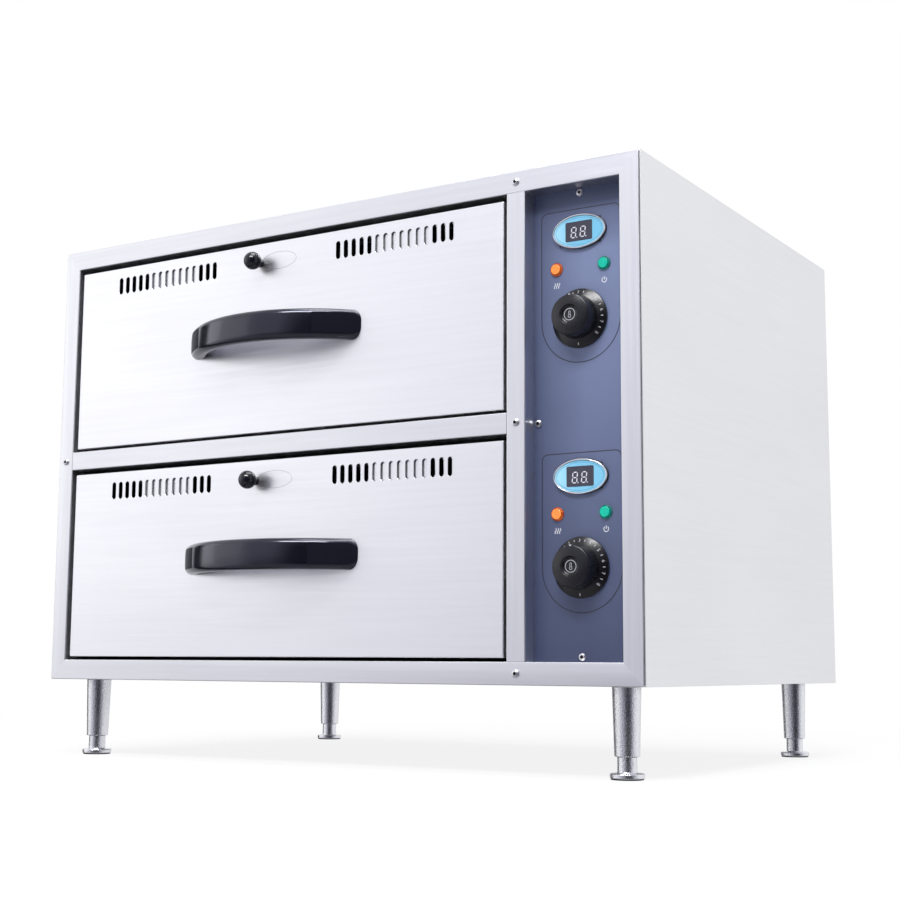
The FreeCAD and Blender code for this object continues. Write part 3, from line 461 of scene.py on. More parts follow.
top_rail_low, top_rail_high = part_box("frame_top_rail")
bottom_rail_low, bottom_rail_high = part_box("frame_bottom_rail")
left_stile_low, left_stile_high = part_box("frame_left_stile")
right_stile_low, right_stile_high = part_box("frame_right_stile")
frame_middle = (bottom_rail_low + top_rail_high) / 2
frame_half = (top_rail_high - bottom_rail_low) / 2
front_y = top_rail_low.y
frame_back_y = top_rail_high.y
stile_width = left_stile_high.x - left_stile_low.x
rail_height = top_rail_high.z - top_rail_low.z


def corner_cut(x, z, x_side, z_side, for_rail):
    """The mitre plane through an outer corner of the frame, seen from a rail or from a stile."""
    across = Vector((x_side * rail_height, 0.0, -z_side * stile_width))
    return (x, 0.0, z), (across if for_rail else -across)


def corner_cuts(x_sides, z_sides, for_rail):
    """For each corner named, its mitre plane and the plane that blunts its tip."""
    x_ends = {-1: left_stile_low.x, 1: right_stile_high.x}
    z_ends = {-1: bottom_rail_low.z, 1: top_rail_high.z}
    planes = []
    for xs in x_sides:
        for zs in z_sides:
            x, z = x_ends[xs], z_ends[zs]
            planes.append(corner_cut(x, z, xs, zs, for_rail))
            planes.append(((x - xs * CORNER_BLUNT, 0.0, z), Vector((xs, 0.0, zs))))
    return planes


folded_channel("frame_top_rail", frame_rail_steel, "X", corner_cuts((-1, 1), (1,), True))
folded_channel("frame_bottom_rail", frame_rail_steel, "X", corner_cuts((-1, 1), (-1,), True))
folded_channel("frame_left_stile", frame_stile_steel, "Z", corner_cuts((-1,), (-1, 1), False))
folded_channel("frame_right_stile", frame_stile_steel, "Z", corner_cuts((1,), (-1, 1), False))
opening_low = bottom_rail_high.z
opening_high = top_rail_low.z
mullion_left, mullion_right = (corner.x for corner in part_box("centre_mullion"))
down, up = Vector((0.0, 0.0, -1.0)), Vector((0.0, 0.0, 1.0))
left, right = Vector((-1.0, 0.0, 0.0)), Vector((1.0, 0.0, 0.0))
folded_channel("centre_mullion", frame_stile_steel, "Z",
               [((0.0, 0.0, opening_low), down), ((0.0, 0.0, opening_high), up)])
folded_channel("middle_rail", frame_rail_steel, "X",
               [((left_stile_high.x, 0.0, 0.0), left), ((mullion_left, 0.0, 0.0), right)])

# ------------------------------------------------------------------ casing
# Stainless sheets round the cabinet: two sides with folded-in flanges, a top, a louvred
# back and a plain bottom. The sides have a fine grain that runs from front to back.
CASING_COLOUR = (0.86, 0.86, 0.875)
BACK_COLOUR = (0.78, 0.78, 0.80)
side_steel = satin_steel("satin_steel_sides", CASING_COLOUR, "Y", 0.36, cloud=0.012)
top_steel = satin_steel("satin_steel_top", CASING_COLOUR, "X", 0.33, cloud=0.02)
back_steel = satin_steel("satin_steel_back", BACK_COLOUR, "X", 0.38, cloud=0.02)
EDGE_ROUND = 0.0005
FLANGE_ROUND = 0.0002


def dress(node, finish):
    """Gives a CAD node its finish; its shape is right as it is."""
    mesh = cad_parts[node].data
    mesh.materials.clear()
    mesh.materials.append(finish.material)


def side_casing(node, side):
    """The outer sheet and its four return flanges."""
    low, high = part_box(node)
    top_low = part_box("top_panel")[0].z
    bottom_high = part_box("bottom_panel")[1].z
    back_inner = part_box("back_panel")[0].y
    inner, outer = (low.x, high.x) if side > 0 else (high.x, low.x)
    sheet_face = outer - side * SHEET
    bm = bmesh.new()

    def sheet(xa, xb, ya, yb, za, zb, radius=FLANGE_ROUND):
        soft_block(bm, (min(xa, xb), ya, za), (max(xa, xb), yb, zb), radius)

    sheet(sheet_face, outer, low.y, high.y, low.z, high.z, EDGE_ROUND)
    sheet(inner, sheet_face, frame_back_y, frame_back_y + SHEET, bottom_high, top_low)
    sheet(inner, sheet_face, back_inner - SHEET, back_inner, bottom_high, top_low)
    sheet(inner, sheet_face, frame_back_y, back_inner, bottom_high, bottom_high + SHEET)
    sheet(inner, sheet_face, frame_back_y, back_inner, top_low - SHEET, top_low)
    finished(node + "_sheet", bm, side_steel, "cabinet", [node])


side_casing("left_side_panel", -1)
side_casing("right_side_panel", 1)
dress("top_panel", top_steel)
dress("back_panel", back_steel)

# ------------------------------------------------------------------ liner and bay metalwork
# Sheet that is mostly out of sight: plain stainless for the cavities' walls and the boxed
# divider between them, galvanised steel for the bottom panel and the control bay's wall.
SPANGLES = 140.0
STAINED = 0.78


def zinc_sheet(name, colour, roughness=0.42):
    """Galvanised sheet: large dull spangles and a few stains."""
    finish = Finish(name, colour, roughness, metallic=1.0)
    place = finish.add("TexCoord", None, None, "Object")
    spangle = finish.add("TexVoronoi", None, {"Vector": place, "Scale": SPANGLES}, "Color")
    patch = finish.add("SeparateXYZ", None, {"Vector": spangle}, "X")
    shade = patch * 0.5 + finish.noise(7.0, detail=4.0) * 0.5
    finish.tint(finish.between(shade, 0.25, 0.75), tuple(c * STAINED for c in colour))
    finish.set("Roughness", finish.between(patch, 0.0, 1.0, roughness - 0.06, roughness + 0.08))
    return finish


liner_steel = satin_steel("cavity_liner_steel", (0.50, 0.50, 0.51), "Y", 0.42, cloud=0.04)
bay_steel = zinc_sheet("bay_zinc_sheet", (0.55, 0.56, 0.57))
for node in ("cavity_left_wall", "cavity_right_wall", "cavity_floor", "cavity_roof", "cavity_rear",
             "cavity_divider"):
    dress(node, liner_steel)
for node in ("bottom_panel", "control_bay_wall"):
    dress(node, bay_steel)

# ------------------------------------------------------------------ insulation
# Slabs of yellow mineral wool, cut to size and packed between the cavities and the casing,
# which hold them.
wool = Finish("mineral_wool", (0.72, 0.58, 0.22), 0.95)
wool_tufts = wool.noise(160.0, detail=6.0, roughness=0.7)
wool_layers = wool.noise((12.0, 12.0, 220.0), detail=3.0)
wool.tint(wool.spread(wool_tufts * 0.6 + wool_layers * 0.4), (0.42, 0.30, 0.08))
wool.relief(wool_tufts, 0.0015)
dress("insulation", wool)

# ------------------------------------------------------------------ heating elements
# Tubular elements bent over each cavity's floor, with two legs through the control bay's
# wall. Their steel sheath is blued by the heat.
HEAT_BROWN = (0.22, 0.15, 0.09)
HEAT_GREY = (0.16, 0.16, 0.18)
HEAT_BLUE = (0.09, 0.10, 0.17)
HEAT_BANDS = [(0.30, HEAT_BROWN), (0.50, HEAT_GREY), (0.70, HEAT_BLUE)]

element_sheath = Finish("heated_sheath", (0.20, 0.19, 0.18), 0.34, metallic=1.0)
heat = element_sheath.noise(14.0)
element_sheath.set("Base Color", element_sheath.add("ValToRGB", {"stops": HEAT_BANDS}, {"Fac": heat}))
element_sheath.relief(element_sheath.noise(900.0, detail=3.0), 0.00004)
dress("heating_elements", element_sheath)

# ------------------------------------------------------------------ telescopic slides
# Zinc-plated sections rolled from steel strip, three to a side of each drawer: one on the
# cavity's wall, one on the drawer and one that runs between them.
LEVELS = ("upper", "lower")

slide_zinc = satin_steel("slide_zinc", (0.62, 0.63, 0.65), "Y", 0.28, cloud=0.03)
dress("outer_slide_members", slide_zinc)
for level in LEVELS:
    dress(level + "_middle_slide_members", slide_zinc)
    dress(level + "_inner_slide_members", slide_zinc)

# ------------------------------------------------------------------ screws
# Zinc-plated M4 button heads with a hexagon socket: in the frame, in the control panel and
# round the back panel.
SCREW_HEAD = 0.0038
SCREW_RISE = 0.0022
HEAD_RIM = 0.0005
DOME_ANGLES = (0.35, 0.7, 1.05, math.pi / 2)
SOCKET_RADIUS = 0.0015
SOCKET_MOUTH = SOCKET_RADIUS * 1.15
SOCKET_CHAMFER = 0.0002
SOCKET_DEPTH = 0.0014
SCREW_SHANK = 0.0020
SCREW_LENGTH = 0.0070
PANEL_SCREW_EDGE = 0.0047
BACK_FLANGE = 0.014
BACK_SCREW_PITCH = 0.190
FORWARD = (0.0, -1.0, 0.0)
REARWARD = (0.0, 1.0, 0.0)


def grained(name, colour, repeats, low, high, detail=2.0, metallic=0.0, depth=0.0, **constants):
    """A finish with a fine grain, over which its roughness wanders between two values."""
    finish = Finish(name, colour, low, metallic, **constants)
    grain_noise = finish.noise(repeats, detail)
    finish.set("Roughness", finish.spread(grain_noise, low, high))
    if depth:
        finish.relief(grain_noise, depth)
    return finish


# Painted shade: the sockets get a near-black finish for the shade deep inside them.
socket_painted_shade = grained("socket_painted_shade", (0.030, 0.030, 0.034), 1500.0, 0.38, 0.55, metallic=0.5)
screw_zinc = grained("screw_zinc", (0.74, 0.74, 0.76), 2200.0, 0.18, 0.36, metallic=1.0)


def turned(bm, rings, centre, axis=FORWARD, segments=48, closed=(True, True)):
    """Skins circles set along an axis, as a lathe would cut them.

    rings are (radius, distance) or ((half width, half height), distance), from start to end."""
    def radii(ring):
        return ring if isinstance(ring, tuple) else (ring, ring)

    loop = bmesh.ops.create_circle(bm, segments=segments, radius=1.0)["verts"]
    start = radii(rings[0][0])
    bmesh.ops.scale(bm, vec=(start[0], start[1], 1.0), verts=loop)
    bmesh.ops.translate(bm, vec=(0.0, 0.0, rings[0][1]), verts=loop)
    made = list(loop)
    if closed[0]:
        bmesh.ops.contextual_create(bm, geom=edges_of(loop))
    before = start
    for ring, distance in rings[1:]:
        size = radii(ring)
        grown = bmesh.ops.extrude_edge_only(bm, edges=edges_of(loop))["geom"]
        loop = [item for item in grown if isinstance(item, bmesh.types.BMVert)]
        height = distance - loop[0].co.z
        bmesh.ops.scale(bm, vec=(size[0] / before[0], size[1] / before[1], 1.0), verts=loop)
        bmesh.ops.translate(bm, vec=(0.0, 0.0, height), verts=loop)
        made += loop
        before = size
    if closed[1]:
        bmesh.ops.contextual_create(bm, geom=edges_of(loop))
    facing = Vector(axis).to_track_quat("Z", "Y").to_matrix().to_4x4()
    bmesh.ops.transform(bm, matrix=Matrix.Translation(centre) @ facing, verts=made)


def bend(radius, distance, size, start, end, steps):
    """Rings round a fillet whose centre is at (radius, distance), from one angle to another."""
    angles = [math.radians(start + (end - start) * i / steps) for i in range(steps + 1)]
    return [(radius + size * math.cos(a), distance + size * math.sin(a)) for a in angles]


def button_screw(bm, sockets, place, outward):
    """A low domed head and its shank, and the six-sided socket in it, near-black as painted shade."""
    flat = SCREW_HEAD / 2
    rings = [(SCREW_SHANK, -SCREW_LENGTH), (SCREW_SHANK, 0.0), (SCREW_HEAD, 0.0), (SCREW_HEAD, HEAD_RIM)]
    rings += [(flat + (SCREW_HEAD - flat) * math.cos(angle),
               HEAD_RIM + (SCREW_RISE - HEAD_RIM) * math.sin(angle)) for angle in DOME_ANGLES]
    turned(bm, rings + [(SOCKET_MOUTH, SCREW_RISE)], place, outward, 24, (True, False))
    socket = [(SOCKET_MOUTH, SCREW_RISE), (SOCKET_RADIUS, SCREW_RISE - SOCKET_CHAMFER),
              (SOCKET_RADIUS, SCREW_RISE - SOCKET_DEPTH)]
    turned(sockets, socket, place, outward, 6, (False, True))


panel_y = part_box("control_panel")[0].y
back_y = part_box("back_panel")[1].y
back_screw_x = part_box("right_side_panel")[1].x - SHEET - BACK_FLANGE / 2
mullion_x = (mullion_left + mullion_right) / 2
middle_z = sum(corner.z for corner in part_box("middle_rail")) / 2
panel_centre_x = (mullion_right + right_stile_low.x) / 2
frame_screws = [(mullion_x, opening_high + rail_height / 2), (mullion_x, middle_z),
                (mullion_x, opening_low - rail_height / 2), (left_stile_low.x + stile_width / 2, middle_z)]
panel_screws = [(panel_centre_x, opening_high - PANEL_SCREW_EDGE),
                (mullion_right + PANEL_SCREW_EDGE, middle_z),
                (panel_centre_x, opening_low + PANEL_SCREW_EDGE)]
back_screws = [(side * back_screw_x, middle_z + step * BACK_SCREW_PITCH)
               for side in (-1, 1) for step in (-1, 0, 1)]

screws = bmesh.new()
sockets = bmesh.new()
for places, y, outward in ((frame_screws, front_y, FORWARD), (panel_screws, panel_y, FORWARD),
                           (back_screws, back_y, REARWARD)):
    for x, z in places:
        button_screw(screws, sockets, (x, y, z), outward)
finished("casing_button_screws", screws, screw_zinc, "cabinet", ["casing_screws"])
finished("casing_screw_sockets", sockets, socket_painted_shade, "cabinet", ["casing_screws"])
for level in LEVELS:
    dress(level + "_handle_screws", screw_zinc)
dress("leg_nuts", screw_zinc)

# ------------------------------------------------------------------ legs and feet
# Cast sleeves with a long taper and a fine sandy surface, satin nickelled. Each foot is a
# turned insert on a flanged disc and screws up into its sleeve.

# Radii, but for the heights, lengths and depths that are named so.
SLEEVE_TOP = 0.0140
SLEEVE_FOOT = 0.0120
SLEEVE_ROUND = 0.0006
BORE_DEPTH = 0.006
STUD = 0.0040
INSERT = 0.0093
INSERT_NECK = 0.0205
INSERT_STEM = 0.0050
STEM_LENGTH = 0.0100
DISC = 0.0162
DISC_HEIGHT = 0.0060
DISC_ROUND = 0.0012
PAD = 0.0154
PAD_HEIGHT = 0.0010
CHAMFER = 0.0004
UP = (0.0, 0.0, 1.0)

leg_nickel = Finish("leg_nickel", (0.92, 0.92, 0.94), 0.27, metallic=1.0)
sand = leg_nickel.noise(800.0, detail=3.0, roughness=0.6)
drawn = leg_nickel.noise((500.0, 500.0, 12.0))
leg_nickel.set("Roughness", leg_nickel.spread(sand, 0.24, 0.32))
leg_nickel.tint(leg_nickel.spread(sand, span=NOISE_CORE) * 0.7 + leg_nickel.spread(drawn) * 0.3,
                (0.70, 0.70, 0.73))
leg_nickel.relief(sand * 0.8 + drawn * 0.2, 0.0004)
# Under each foot's disc lies a thin near-black pad.
pad_dark = grained("foot_pad_dark", (0.015, 0.015, 0.016), 500.0, 0.6, 0.8)

sleeve_low, sleeve_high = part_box("leg_sleeves")
sleeve_length = bottom_rail_low.z - sleeve_low.z
stud_top = sleeve_high.z - sleeve_low.z
sleeves = bmesh.new()
for foot in ("front_left_foot", "front_right_foot", "rear_left_foot", "rear_right_foot"):
    low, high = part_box(foot)
    x, y = (low.x + high.x) / 2, (low.y + high.y) / 2
    bore = INSERT + CHAMFER
    rings = [(bore, BORE_DEPTH), (bore, 0.0)]
    rings += bend(SLEEVE_FOOT - SLEEVE_ROUND, SLEEVE_ROUND, SLEEVE_ROUND, -90.0, 0.0, 3)
    rings += [(SLEEVE_TOP - 0.0003, sleeve_length - 2 * CHAMFER), (SLEEVE_TOP, sleeve_length - CHAMFER),
              (SLEEVE_TOP, sleeve_length), (STUD, sleeve_length), (STUD, stud_top)]
    turned(sleeves, rings, (x, y, sleeve_low.z), UP, 64)
    pad = bmesh.new()
    turned(pad, [(PAD - CHAMFER, 0.0), (PAD, CHAMFER), (PAD, PAD_HEIGHT)], (x, y, 0.0), UP, 48)
    finished(foot + "_pad", pad, pad_dark, foot + "_body", [foot])
    body = bmesh.new()
    rings = bend(DISC - DISC_ROUND, PAD_HEIGHT + DISC_ROUND, DISC_ROUND, -90.0, 0.0, 4)
    rings += bend(DISC - DISC_ROUND, DISC_HEIGHT - 0.0002 - DISC_ROUND, DISC_ROUND, 0.0, 90.0, 4)
    rings += [(INSERT + 0.001 + DISC_ROUND, DISC_HEIGHT)]
    rings += bend(INSERT + DISC_ROUND, DISC_HEIGHT + DISC_ROUND, -DISC_ROUND, 90.0, 0.0, 3)
    rings += [(INSERT, INSERT_NECK), (INSERT - CHAMFER, INSERT_NECK + CHAMFER),
              (INSERT - CHAMFER, high.z - STEM_LENGTH - 0.0005), (INSERT_STEM, high.z - STEM_LENGTH),
              (INSERT_STEM, high.z)]
    turned(body, rings, (x, y, 0.0), UP, 64)
    finished(foot + "_turned", body, leg_nickel, foot + "_body", [foot])
finished("leg_sleeve_castings", sleeves, leg_nickel, "cabinet", ["leg_sleeves"])

# ------------------------------------------------------------------ control panel
# A 1.5 mm plate painted slate blue that stands behind the frame's opening. Its blue is darkened
# with painted shade towards its foot, towards its top under the frame's rail and along its left
# edge beside the mullion, where the bay's recess shades it. A thin line is printed round each
# level's instruments, and a pictogram under each lamp.
PRINT_THICKNESS = 0.00006
LINE_WIDTH = 0.0009
FRONT_GAP = 0.0035
OUTLINE_TOP = 0.1975
OUTLINE_HALF = 0.04275
OUTLINE_TOP_RADIUS = 0.007
OUTLINE_FOOT_RADIUS = OUTLINE_HALF * 0.999
KNOB_RISE = 0.0880
LAMP_RISE = 0.1393
DISPLAY_RISE = 0.1740
PICTOGRAM_DROP = 0.0160
PRINT_STROKE = 0.0006
WAVE_PITCH = 0.0024
WAVE_RADIUS = 0.0015
WAVE_OFFSET = (0.00075, 0.0013)
WAVE_SWEEP = 120.0
# The halves of a wave: below or above its middle, and the angle at which its arc starts.
WAVE_HALVES = ((-1, 120.0), (1, -60.0))
POWER_RADIUS = 0.0025
POWER_ARC = (125.0, 290.0)
POWER_BAR = 0.0033
# The blue where the panel is lit, and the painted shade it is darkened to.
PAINT_BLUE_LIT = (0.165, 0.201, 0.342)
PAINT_SHADED = (0.040, 0.050, 0.102)
# Where the painted shade gives way to the lit blue: heights from the cabinet's middle, and
# distances to the right of the panel's middle.
PAINTED_SHADE_FOOT = (-0.215, 0.135)
PAINTED_SHADE_TOP = (0.225, 0.165)
PAINTED_SHADE_LEFT = (-0.056, 0.004)
PAINT_LIT = (0.15, 0.90)

panel_paint_and_shade = Finish("panel_paint_and_shade", PAINT_BLUE_LIT, 0.36, specular_ior_level=0.35)
paint_grain = panel_paint_and_shade.noise(2600.0)
paint_height = panel_paint_and_shade.coordinate("Object", "Z")
paint_across = panel_paint_and_shade.coordinate("Object", "X")
# Painted shade: the blue is darkened where the recess shades the panel, at its foot, top and left.
paint_lit = (panel_paint_and_shade.past(paint_height, middle_z, PAINTED_SHADE_FOOT)
             * panel_paint_and_shade.past(paint_height, middle_z, PAINTED_SHADE_TOP)
             * panel_paint_and_shade.past(paint_across, panel_centre_x, PAINTED_SHADE_LEFT, *PAINT_LIT))
panel_paint_and_shade.tint(panel_paint_and_shade.spread(panel_paint_and_shade.noise(9.0)) * 0.08 + (1.0 - paint_lit) * 0.92, PAINT_SHADED)
panel_paint_and_shade.set("Roughness", panel_paint_and_shade.spread(paint_grain, 0.30, 0.42))
panel_paint_and_shade.relief(paint_grain, 0.00001)
dress("control_panel", panel_paint_and_shade)


INK_WORN = 0.8


def print_ink(name, colour):
    """A matt printing ink, darkened here and there in fine specks."""
    ink = Finish(name, colour, 0.5)
    wear = ink.noise(700.0, detail=3.0)
    ink.tint(ink.spread(wear, span=NOISE_CORE), tuple(c * INK_WORN for c in colour))
    return ink


line_ink = print_ink("line_ink", (0.018, 0.018, 0.030))
white_ink = print_ink("white_ink", (0.82, 0.83, 0.88))
figure_ink = print_ink("figure_ink", (0.42, 0.42, 0.46))


def plate(bm, low, high, y, top_radius=0.0, bottom_radius=0.0, segments=1):
    """A flat rounded rectangle facing the front, between two (x, z) corners; gives its face."""
    centre = Vector(((low[0] + high[0]) / 2, y, (low[1] + high[1]) / 2))
    scale = Matrix.Diagonal((high[0] - low[0], high[1] - low[1], 1.0, 1.0))
    stood_up = Matrix.Translation(centre) @ Matrix.Rotation(math.pi / 2, 4, "X") @ scale
    older = set(bm.faces)
    verts = bmesh.ops.create_grid(bm, x_segments=1, y_segments=1, size=0.5, matrix=stood_up)["verts"]
    uppers = [vert for vert in verts if vert.co.z > centre.z]
    lowers = [vert for vert in verts if vert.co.z < centre.z]
    for corners, radius in ((uppers, top_radius), (lowers, bottom_radius)):
        if radius > 0.0:
            bmesh.ops.bevel(bm, geom=corners, offset=radius, segments=segments, profile=0.5,
                            affect="VERTICES", material=-1, clamp_overlap=True)
    return [face for face in bm.faces if face not in older][0]


def ring_only(bm, face, width):
    """Keeps just the rim of a face."""
    bmesh.ops.inset_region(bm, faces=[face], thickness=width, use_even_offset=True, use_boundary=True)
    bmesh.ops.delete(bm, geom=[face], context="FACES_ONLY")


def raised(bm, faces, vector):
    """Gives flat faces a thickness."""
    grown = bmesh.ops.extrude_face_region(bm, geom=faces)["geom"]
    moved = [item for item in grown if isinstance(item, bmesh.types.BMVert)]
    bmesh.ops.translate(bm, verts=moved, vec=vector)


FULL_TURN = 360.0


def band(bm, centre, radius, width, start, sweep, steps):
    """A flat arc facing the front; angles in degrees, from the right and anticlockwise."""
    angle = math.radians(start)
    ends = [bm.verts.new(Vector(centre) + Vector((math.cos(angle), 0.0, math.sin(angle))) * r)
            for r in (radius - width / 2, radius + width / 2)]
    edge = bm.edges.new(ends)
    bmesh.ops.spin(bm, geom=ends + [edge], cent=centre, axis=FORWARD, angle=math.radians(sweep),
                   steps=steps, use_duplicate=False, use_merge=sweep == FULL_TURN)


def printed(name, bm, ink, body):
    """A flat print that lies on a front face, given its own small thickness."""
    raised(bm, bm.faces[:], (0.0, -PRINT_THICKNESS, 0.0))
    finished(name, bm, ink, body, weighted=False)


def floor_of(level):
    """The lower edge of a level's opening, from which its instruments are set out."""
    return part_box(level + "_drawer_front")[0].z - FRONT_GAP


def middle_x(node):
    """Where a node's middle lies from left to right."""
    low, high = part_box(node)
    return (low.x + high.x) / 2


lines = bmesh.new()
pictograms = bmesh.new()
heat_x = middle_x("heat_lamps")
power_x = middle_x("power_lamps")
for level in LEVELS:
    base = floor_of(level)
    outline_low = (panel_centre_x - OUTLINE_HALF, base + KNOB_RISE - OUTLINE_HALF)
    outline_high = (panel_centre_x + OUTLINE_HALF, base + OUTLINE_TOP)
    face = plate(lines, outline_low, outline_high, panel_y, OUTLINE_TOP_RADIUS, OUTLINE_FOOT_RADIUS, 32)
    ring_only(lines, face, LINE_WIDTH)
    mark_z = base + LAMP_RISE - PICTOGRAM_DROP
    for wave in (-1, 0, 1):
        for half, start in WAVE_HALVES:
            wave_x = heat_x + wave * WAVE_PITCH - half * WAVE_OFFSET[0]
            band(pictograms, (wave_x, panel_y, mark_z + half * WAVE_OFFSET[1]), WAVE_RADIUS, PRINT_STROKE,
                 start, WAVE_SWEEP, 8)
    band(pictograms, (power_x, panel_y, mark_z), POWER_RADIUS, PRINT_STROKE, *POWER_ARC, 24)
    half = PRINT_STROKE / 2
    plate(pictograms, (power_x - half, mark_z), (power_x + half, mark_z + POWER_BAR), panel_y)
printed("panel_outlines", lines, line_ink, "cabinet")
printed("panel_pictograms", pictograms, white_ink, "cabinet")

# ------------------------------------------------------------------ displays
# A chromed oval bezel clipped into the panel by a black nylon rim, with a pale blue face, a
# dark window and two seven-segment figures behind it. The rim's black over the bezel's side is
# a painted reflection: it stands in for the dark that the chromed side mirrors.
BEZEL = (0.0287, 0.0172)
# Each ring: how far it lies outside the bezel's oval, and how far it stands off the panel.
RIM_RINGS = ((0.0, 0.0), (0.0, 0.0023), (-0.0004, 0.0025))
BEZEL_RINGS = ((-0.0003, 0.0024), (-0.0002, 0.0031), (-0.0005, 0.0037), (-0.0009, 0.0040),
               (-0.0014, 0.0040), (-0.0018, 0.0036), (-0.0020, 0.0022))
FACE_RINGS = ((-0.0020, 0.0022), (-0.0020, 0.0028), (-0.0022, 0.0030))
FACE_OUT = 0.0030
FACE_LINE_INSET = 0.0036
FACE_LINE = 0.0004
WINDOW = (0.0288, 0.0194)
WINDOW_CORNER = 0.0014
WINDOW_RISE = 0.0002
FIGURE = (0.0048, 0.0100)
FIGURE_DROP = 0.0010
FIGURE_SHIFT = -0.0006
FIGURE_PITCH = 0.0098
FIGURE_STROKE = 0.00095
FIGURE_SLANT = math.radians(6.0)
SEGMENT_GAPS = (0.0007, 0.0005)
POINT_SPAN = (0.0010, 0.0020)
POINT_TOP = 0.0006
POINT_ROUND = 0.0003
PALE_SIDE = (-0.006, -0.026)

nylon = grained("gland_nylon", (0.022, 0.022, 0.024), 700.0, 0.36, 0.52, detail=3.0)
chrome = grained("bezel_chrome", (0.93, 0.93, 0.94), 400.0, 0.06, 0.16, metallic=1.0)
face_blue = Finish("display_blue", (0.15, 0.42, 0.62), 0.28, specular_ior_level=0.35)
at_left = face_blue.past(face_blue.coordinate("Object", "X"), panel_centre_x, PALE_SIDE)
face_blue.tint(at_left * 0.8 + face_blue.spread(face_blue.noise(45.0)) * 0.2, (0.34, 0.62, 0.78))
groove_blue = print_ink("display_line_blue", (0.06, 0.22, 0.38))
window_dark = Finish("window_smoke", (0.030, 0.030, 0.050), 0.18, coat_weight=0.4, coat_roughness=0.05)
window_dark.tint(window_dark.spread(window_dark.noise(120.0)), (0.022, 0.022, 0.038))
figure_light = Finish("figure_segments", (0.50, 0.50, 0.56), 0.4)
flicker = figure_light.spread(figure_light.noise(500.0))
figure_light.set("Emission Color", figure_light.blend(flicker, (0.20, 0.20, 0.23), (0.14, 0.14, 0.17)))
figure_light.set("Emission Strength", 1.0)


def seven_segments(bm, place):
    """An 8 and its point, slanted, in the plane that faces the front through a place."""
    figure = bmesh.new()
    half_w, half_h, half_s = FIGURE[0] / 2, FIGURE[1] / 2, FIGURE_STROKE / 2
    blunt = half_s * 0.9
    for row in (-1, 0, 1):
        reach, z = half_w - SEGMENT_GAPS[0], row * half_h
        plate(figure, (-reach, z - half_s), (reach, z + half_s), 0.0, blunt, blunt, 1)
    for column in (-1, 1):
        for row in (-1, 1):
            x, z, reach = column * half_w, row * half_h / 2, half_h / 2 - SEGMENT_GAPS[1]
            plate(figure, (x - half_s, z - reach), (x + half_s, z + reach), 0.0, blunt, blunt, 1)
    plate(figure, (half_w + POINT_SPAN[0], -half_h - half_s), (half_w + POINT_SPAN[1], -half_h + POINT_TOP),
          0.0, POINT_ROUND, POINT_ROUND, 2)
    slant = Matrix.Identity(4)
    slant[0][2] = math.tan(FIGURE_SLANT)
    bmesh.ops.transform(figure, matrix=Matrix.Translation(place) @ slant, verts=figure.verts[:])
    drawn = bpy.data.meshes.new("figure")
    figure.to_mesh(drawn)
    figure.free()
    bm.from_mesh(drawn)
    bpy.data.meshes.remove(drawn)


rims, bezels, faces, grooves, windows, figures = (bmesh.new() for _ in range(6))
for level in LEVELS:
    place = Vector((panel_centre_x, panel_y, floor_of(level) + DISPLAY_RISE))
    for bm, rings in ((rims, RIM_RINGS), (bezels, BEZEL_RINGS), (faces, FACE_RINGS)):
        ovals = [((BEZEL[0] + grow, BEZEL[1] + grow), distance) for grow, distance in rings]
        turned(bm, ovals, place, segments=96)
    face_y = panel_y - FACE_OUT
    to_oval = Matrix.Diagonal((BEZEL[0] - FACE_LINE_INSET, BEZEL[1] - FACE_LINE_INSET, 1.0, 1.0))
    at_face = Matrix.Translation((place.x, face_y, place.z)) @ Matrix.Rotation(math.pi / 2, 4, "X")
    groove = bmesh.ops.create_circle(grooves, cap_ends=True, segments=96, radius=1.0,
                                     matrix=at_face @ to_oval)["verts"]
    ring_only(grooves, groove[0].link_faces[0], FACE_LINE)
    half_w, half_h = WINDOW[0] / 2, WINDOW[1] / 2
    pane = plate(windows, (place.x - half_w, place.z - half_h), (place.x + half_w, place.z + half_h),
                 face_y, WINDOW_CORNER, WINDOW_CORNER, 5)
    raised(windows, [pane], (0.0, -WINDOW_RISE, 0.0))
    for side in (-1, 1):
        seven_segments(figures, (place.x + side * FIGURE_PITCH / 2 + FIGURE_SHIFT, face_y - WINDOW_RISE,
                                 place.z - FIGURE_DROP))
# The rims' black is a painted reflection of the dark that the chromed side would mirror.
finished("display_rims_painted_dark", rims, nylon, "cabinet", ["display_housings"])
printed("display_face_lines", grooves, groove_blue, "cabinet")
finished("display_bezels", bezels, chrome, "cabinet", ["display_housings"])
finished("display_faces", faces, face_blue, "cabinet", ["display_windows"])
finished("display_panes", windows, window_dark, "cabinet", ["display_windows"])
printed("display_figures", figures, figure_light, "cabinet")

# ------------------------------------------------------------------ signal lamps
# Moulded lenses on a low flange, amber for heat and green for power, snapped in from the
# front.
LAMP_FLANGE = 0.00658
# Each ring: its radius, and how far it stands off the panel.
LENS_RINGS = [(LAMP_FLANGE, 0.0), (LAMP_FLANGE, 0.0011), (LAMP_FLANGE - 0.0002, 0.0015),
              (LAMP_FLANGE - 0.0006, 0.0018), (0.0053, 0.0018), (0.0051, 0.0020), (0.0050, 0.0029),
              *bend(0.0045, 0.0029, 0.0005, 20.0, 90.0, 3), (0.0020, 0.00345)]
LENS_SIDE = (-0.0031, -0.0026)
LENS_PAINTED_GLOW = 0.22


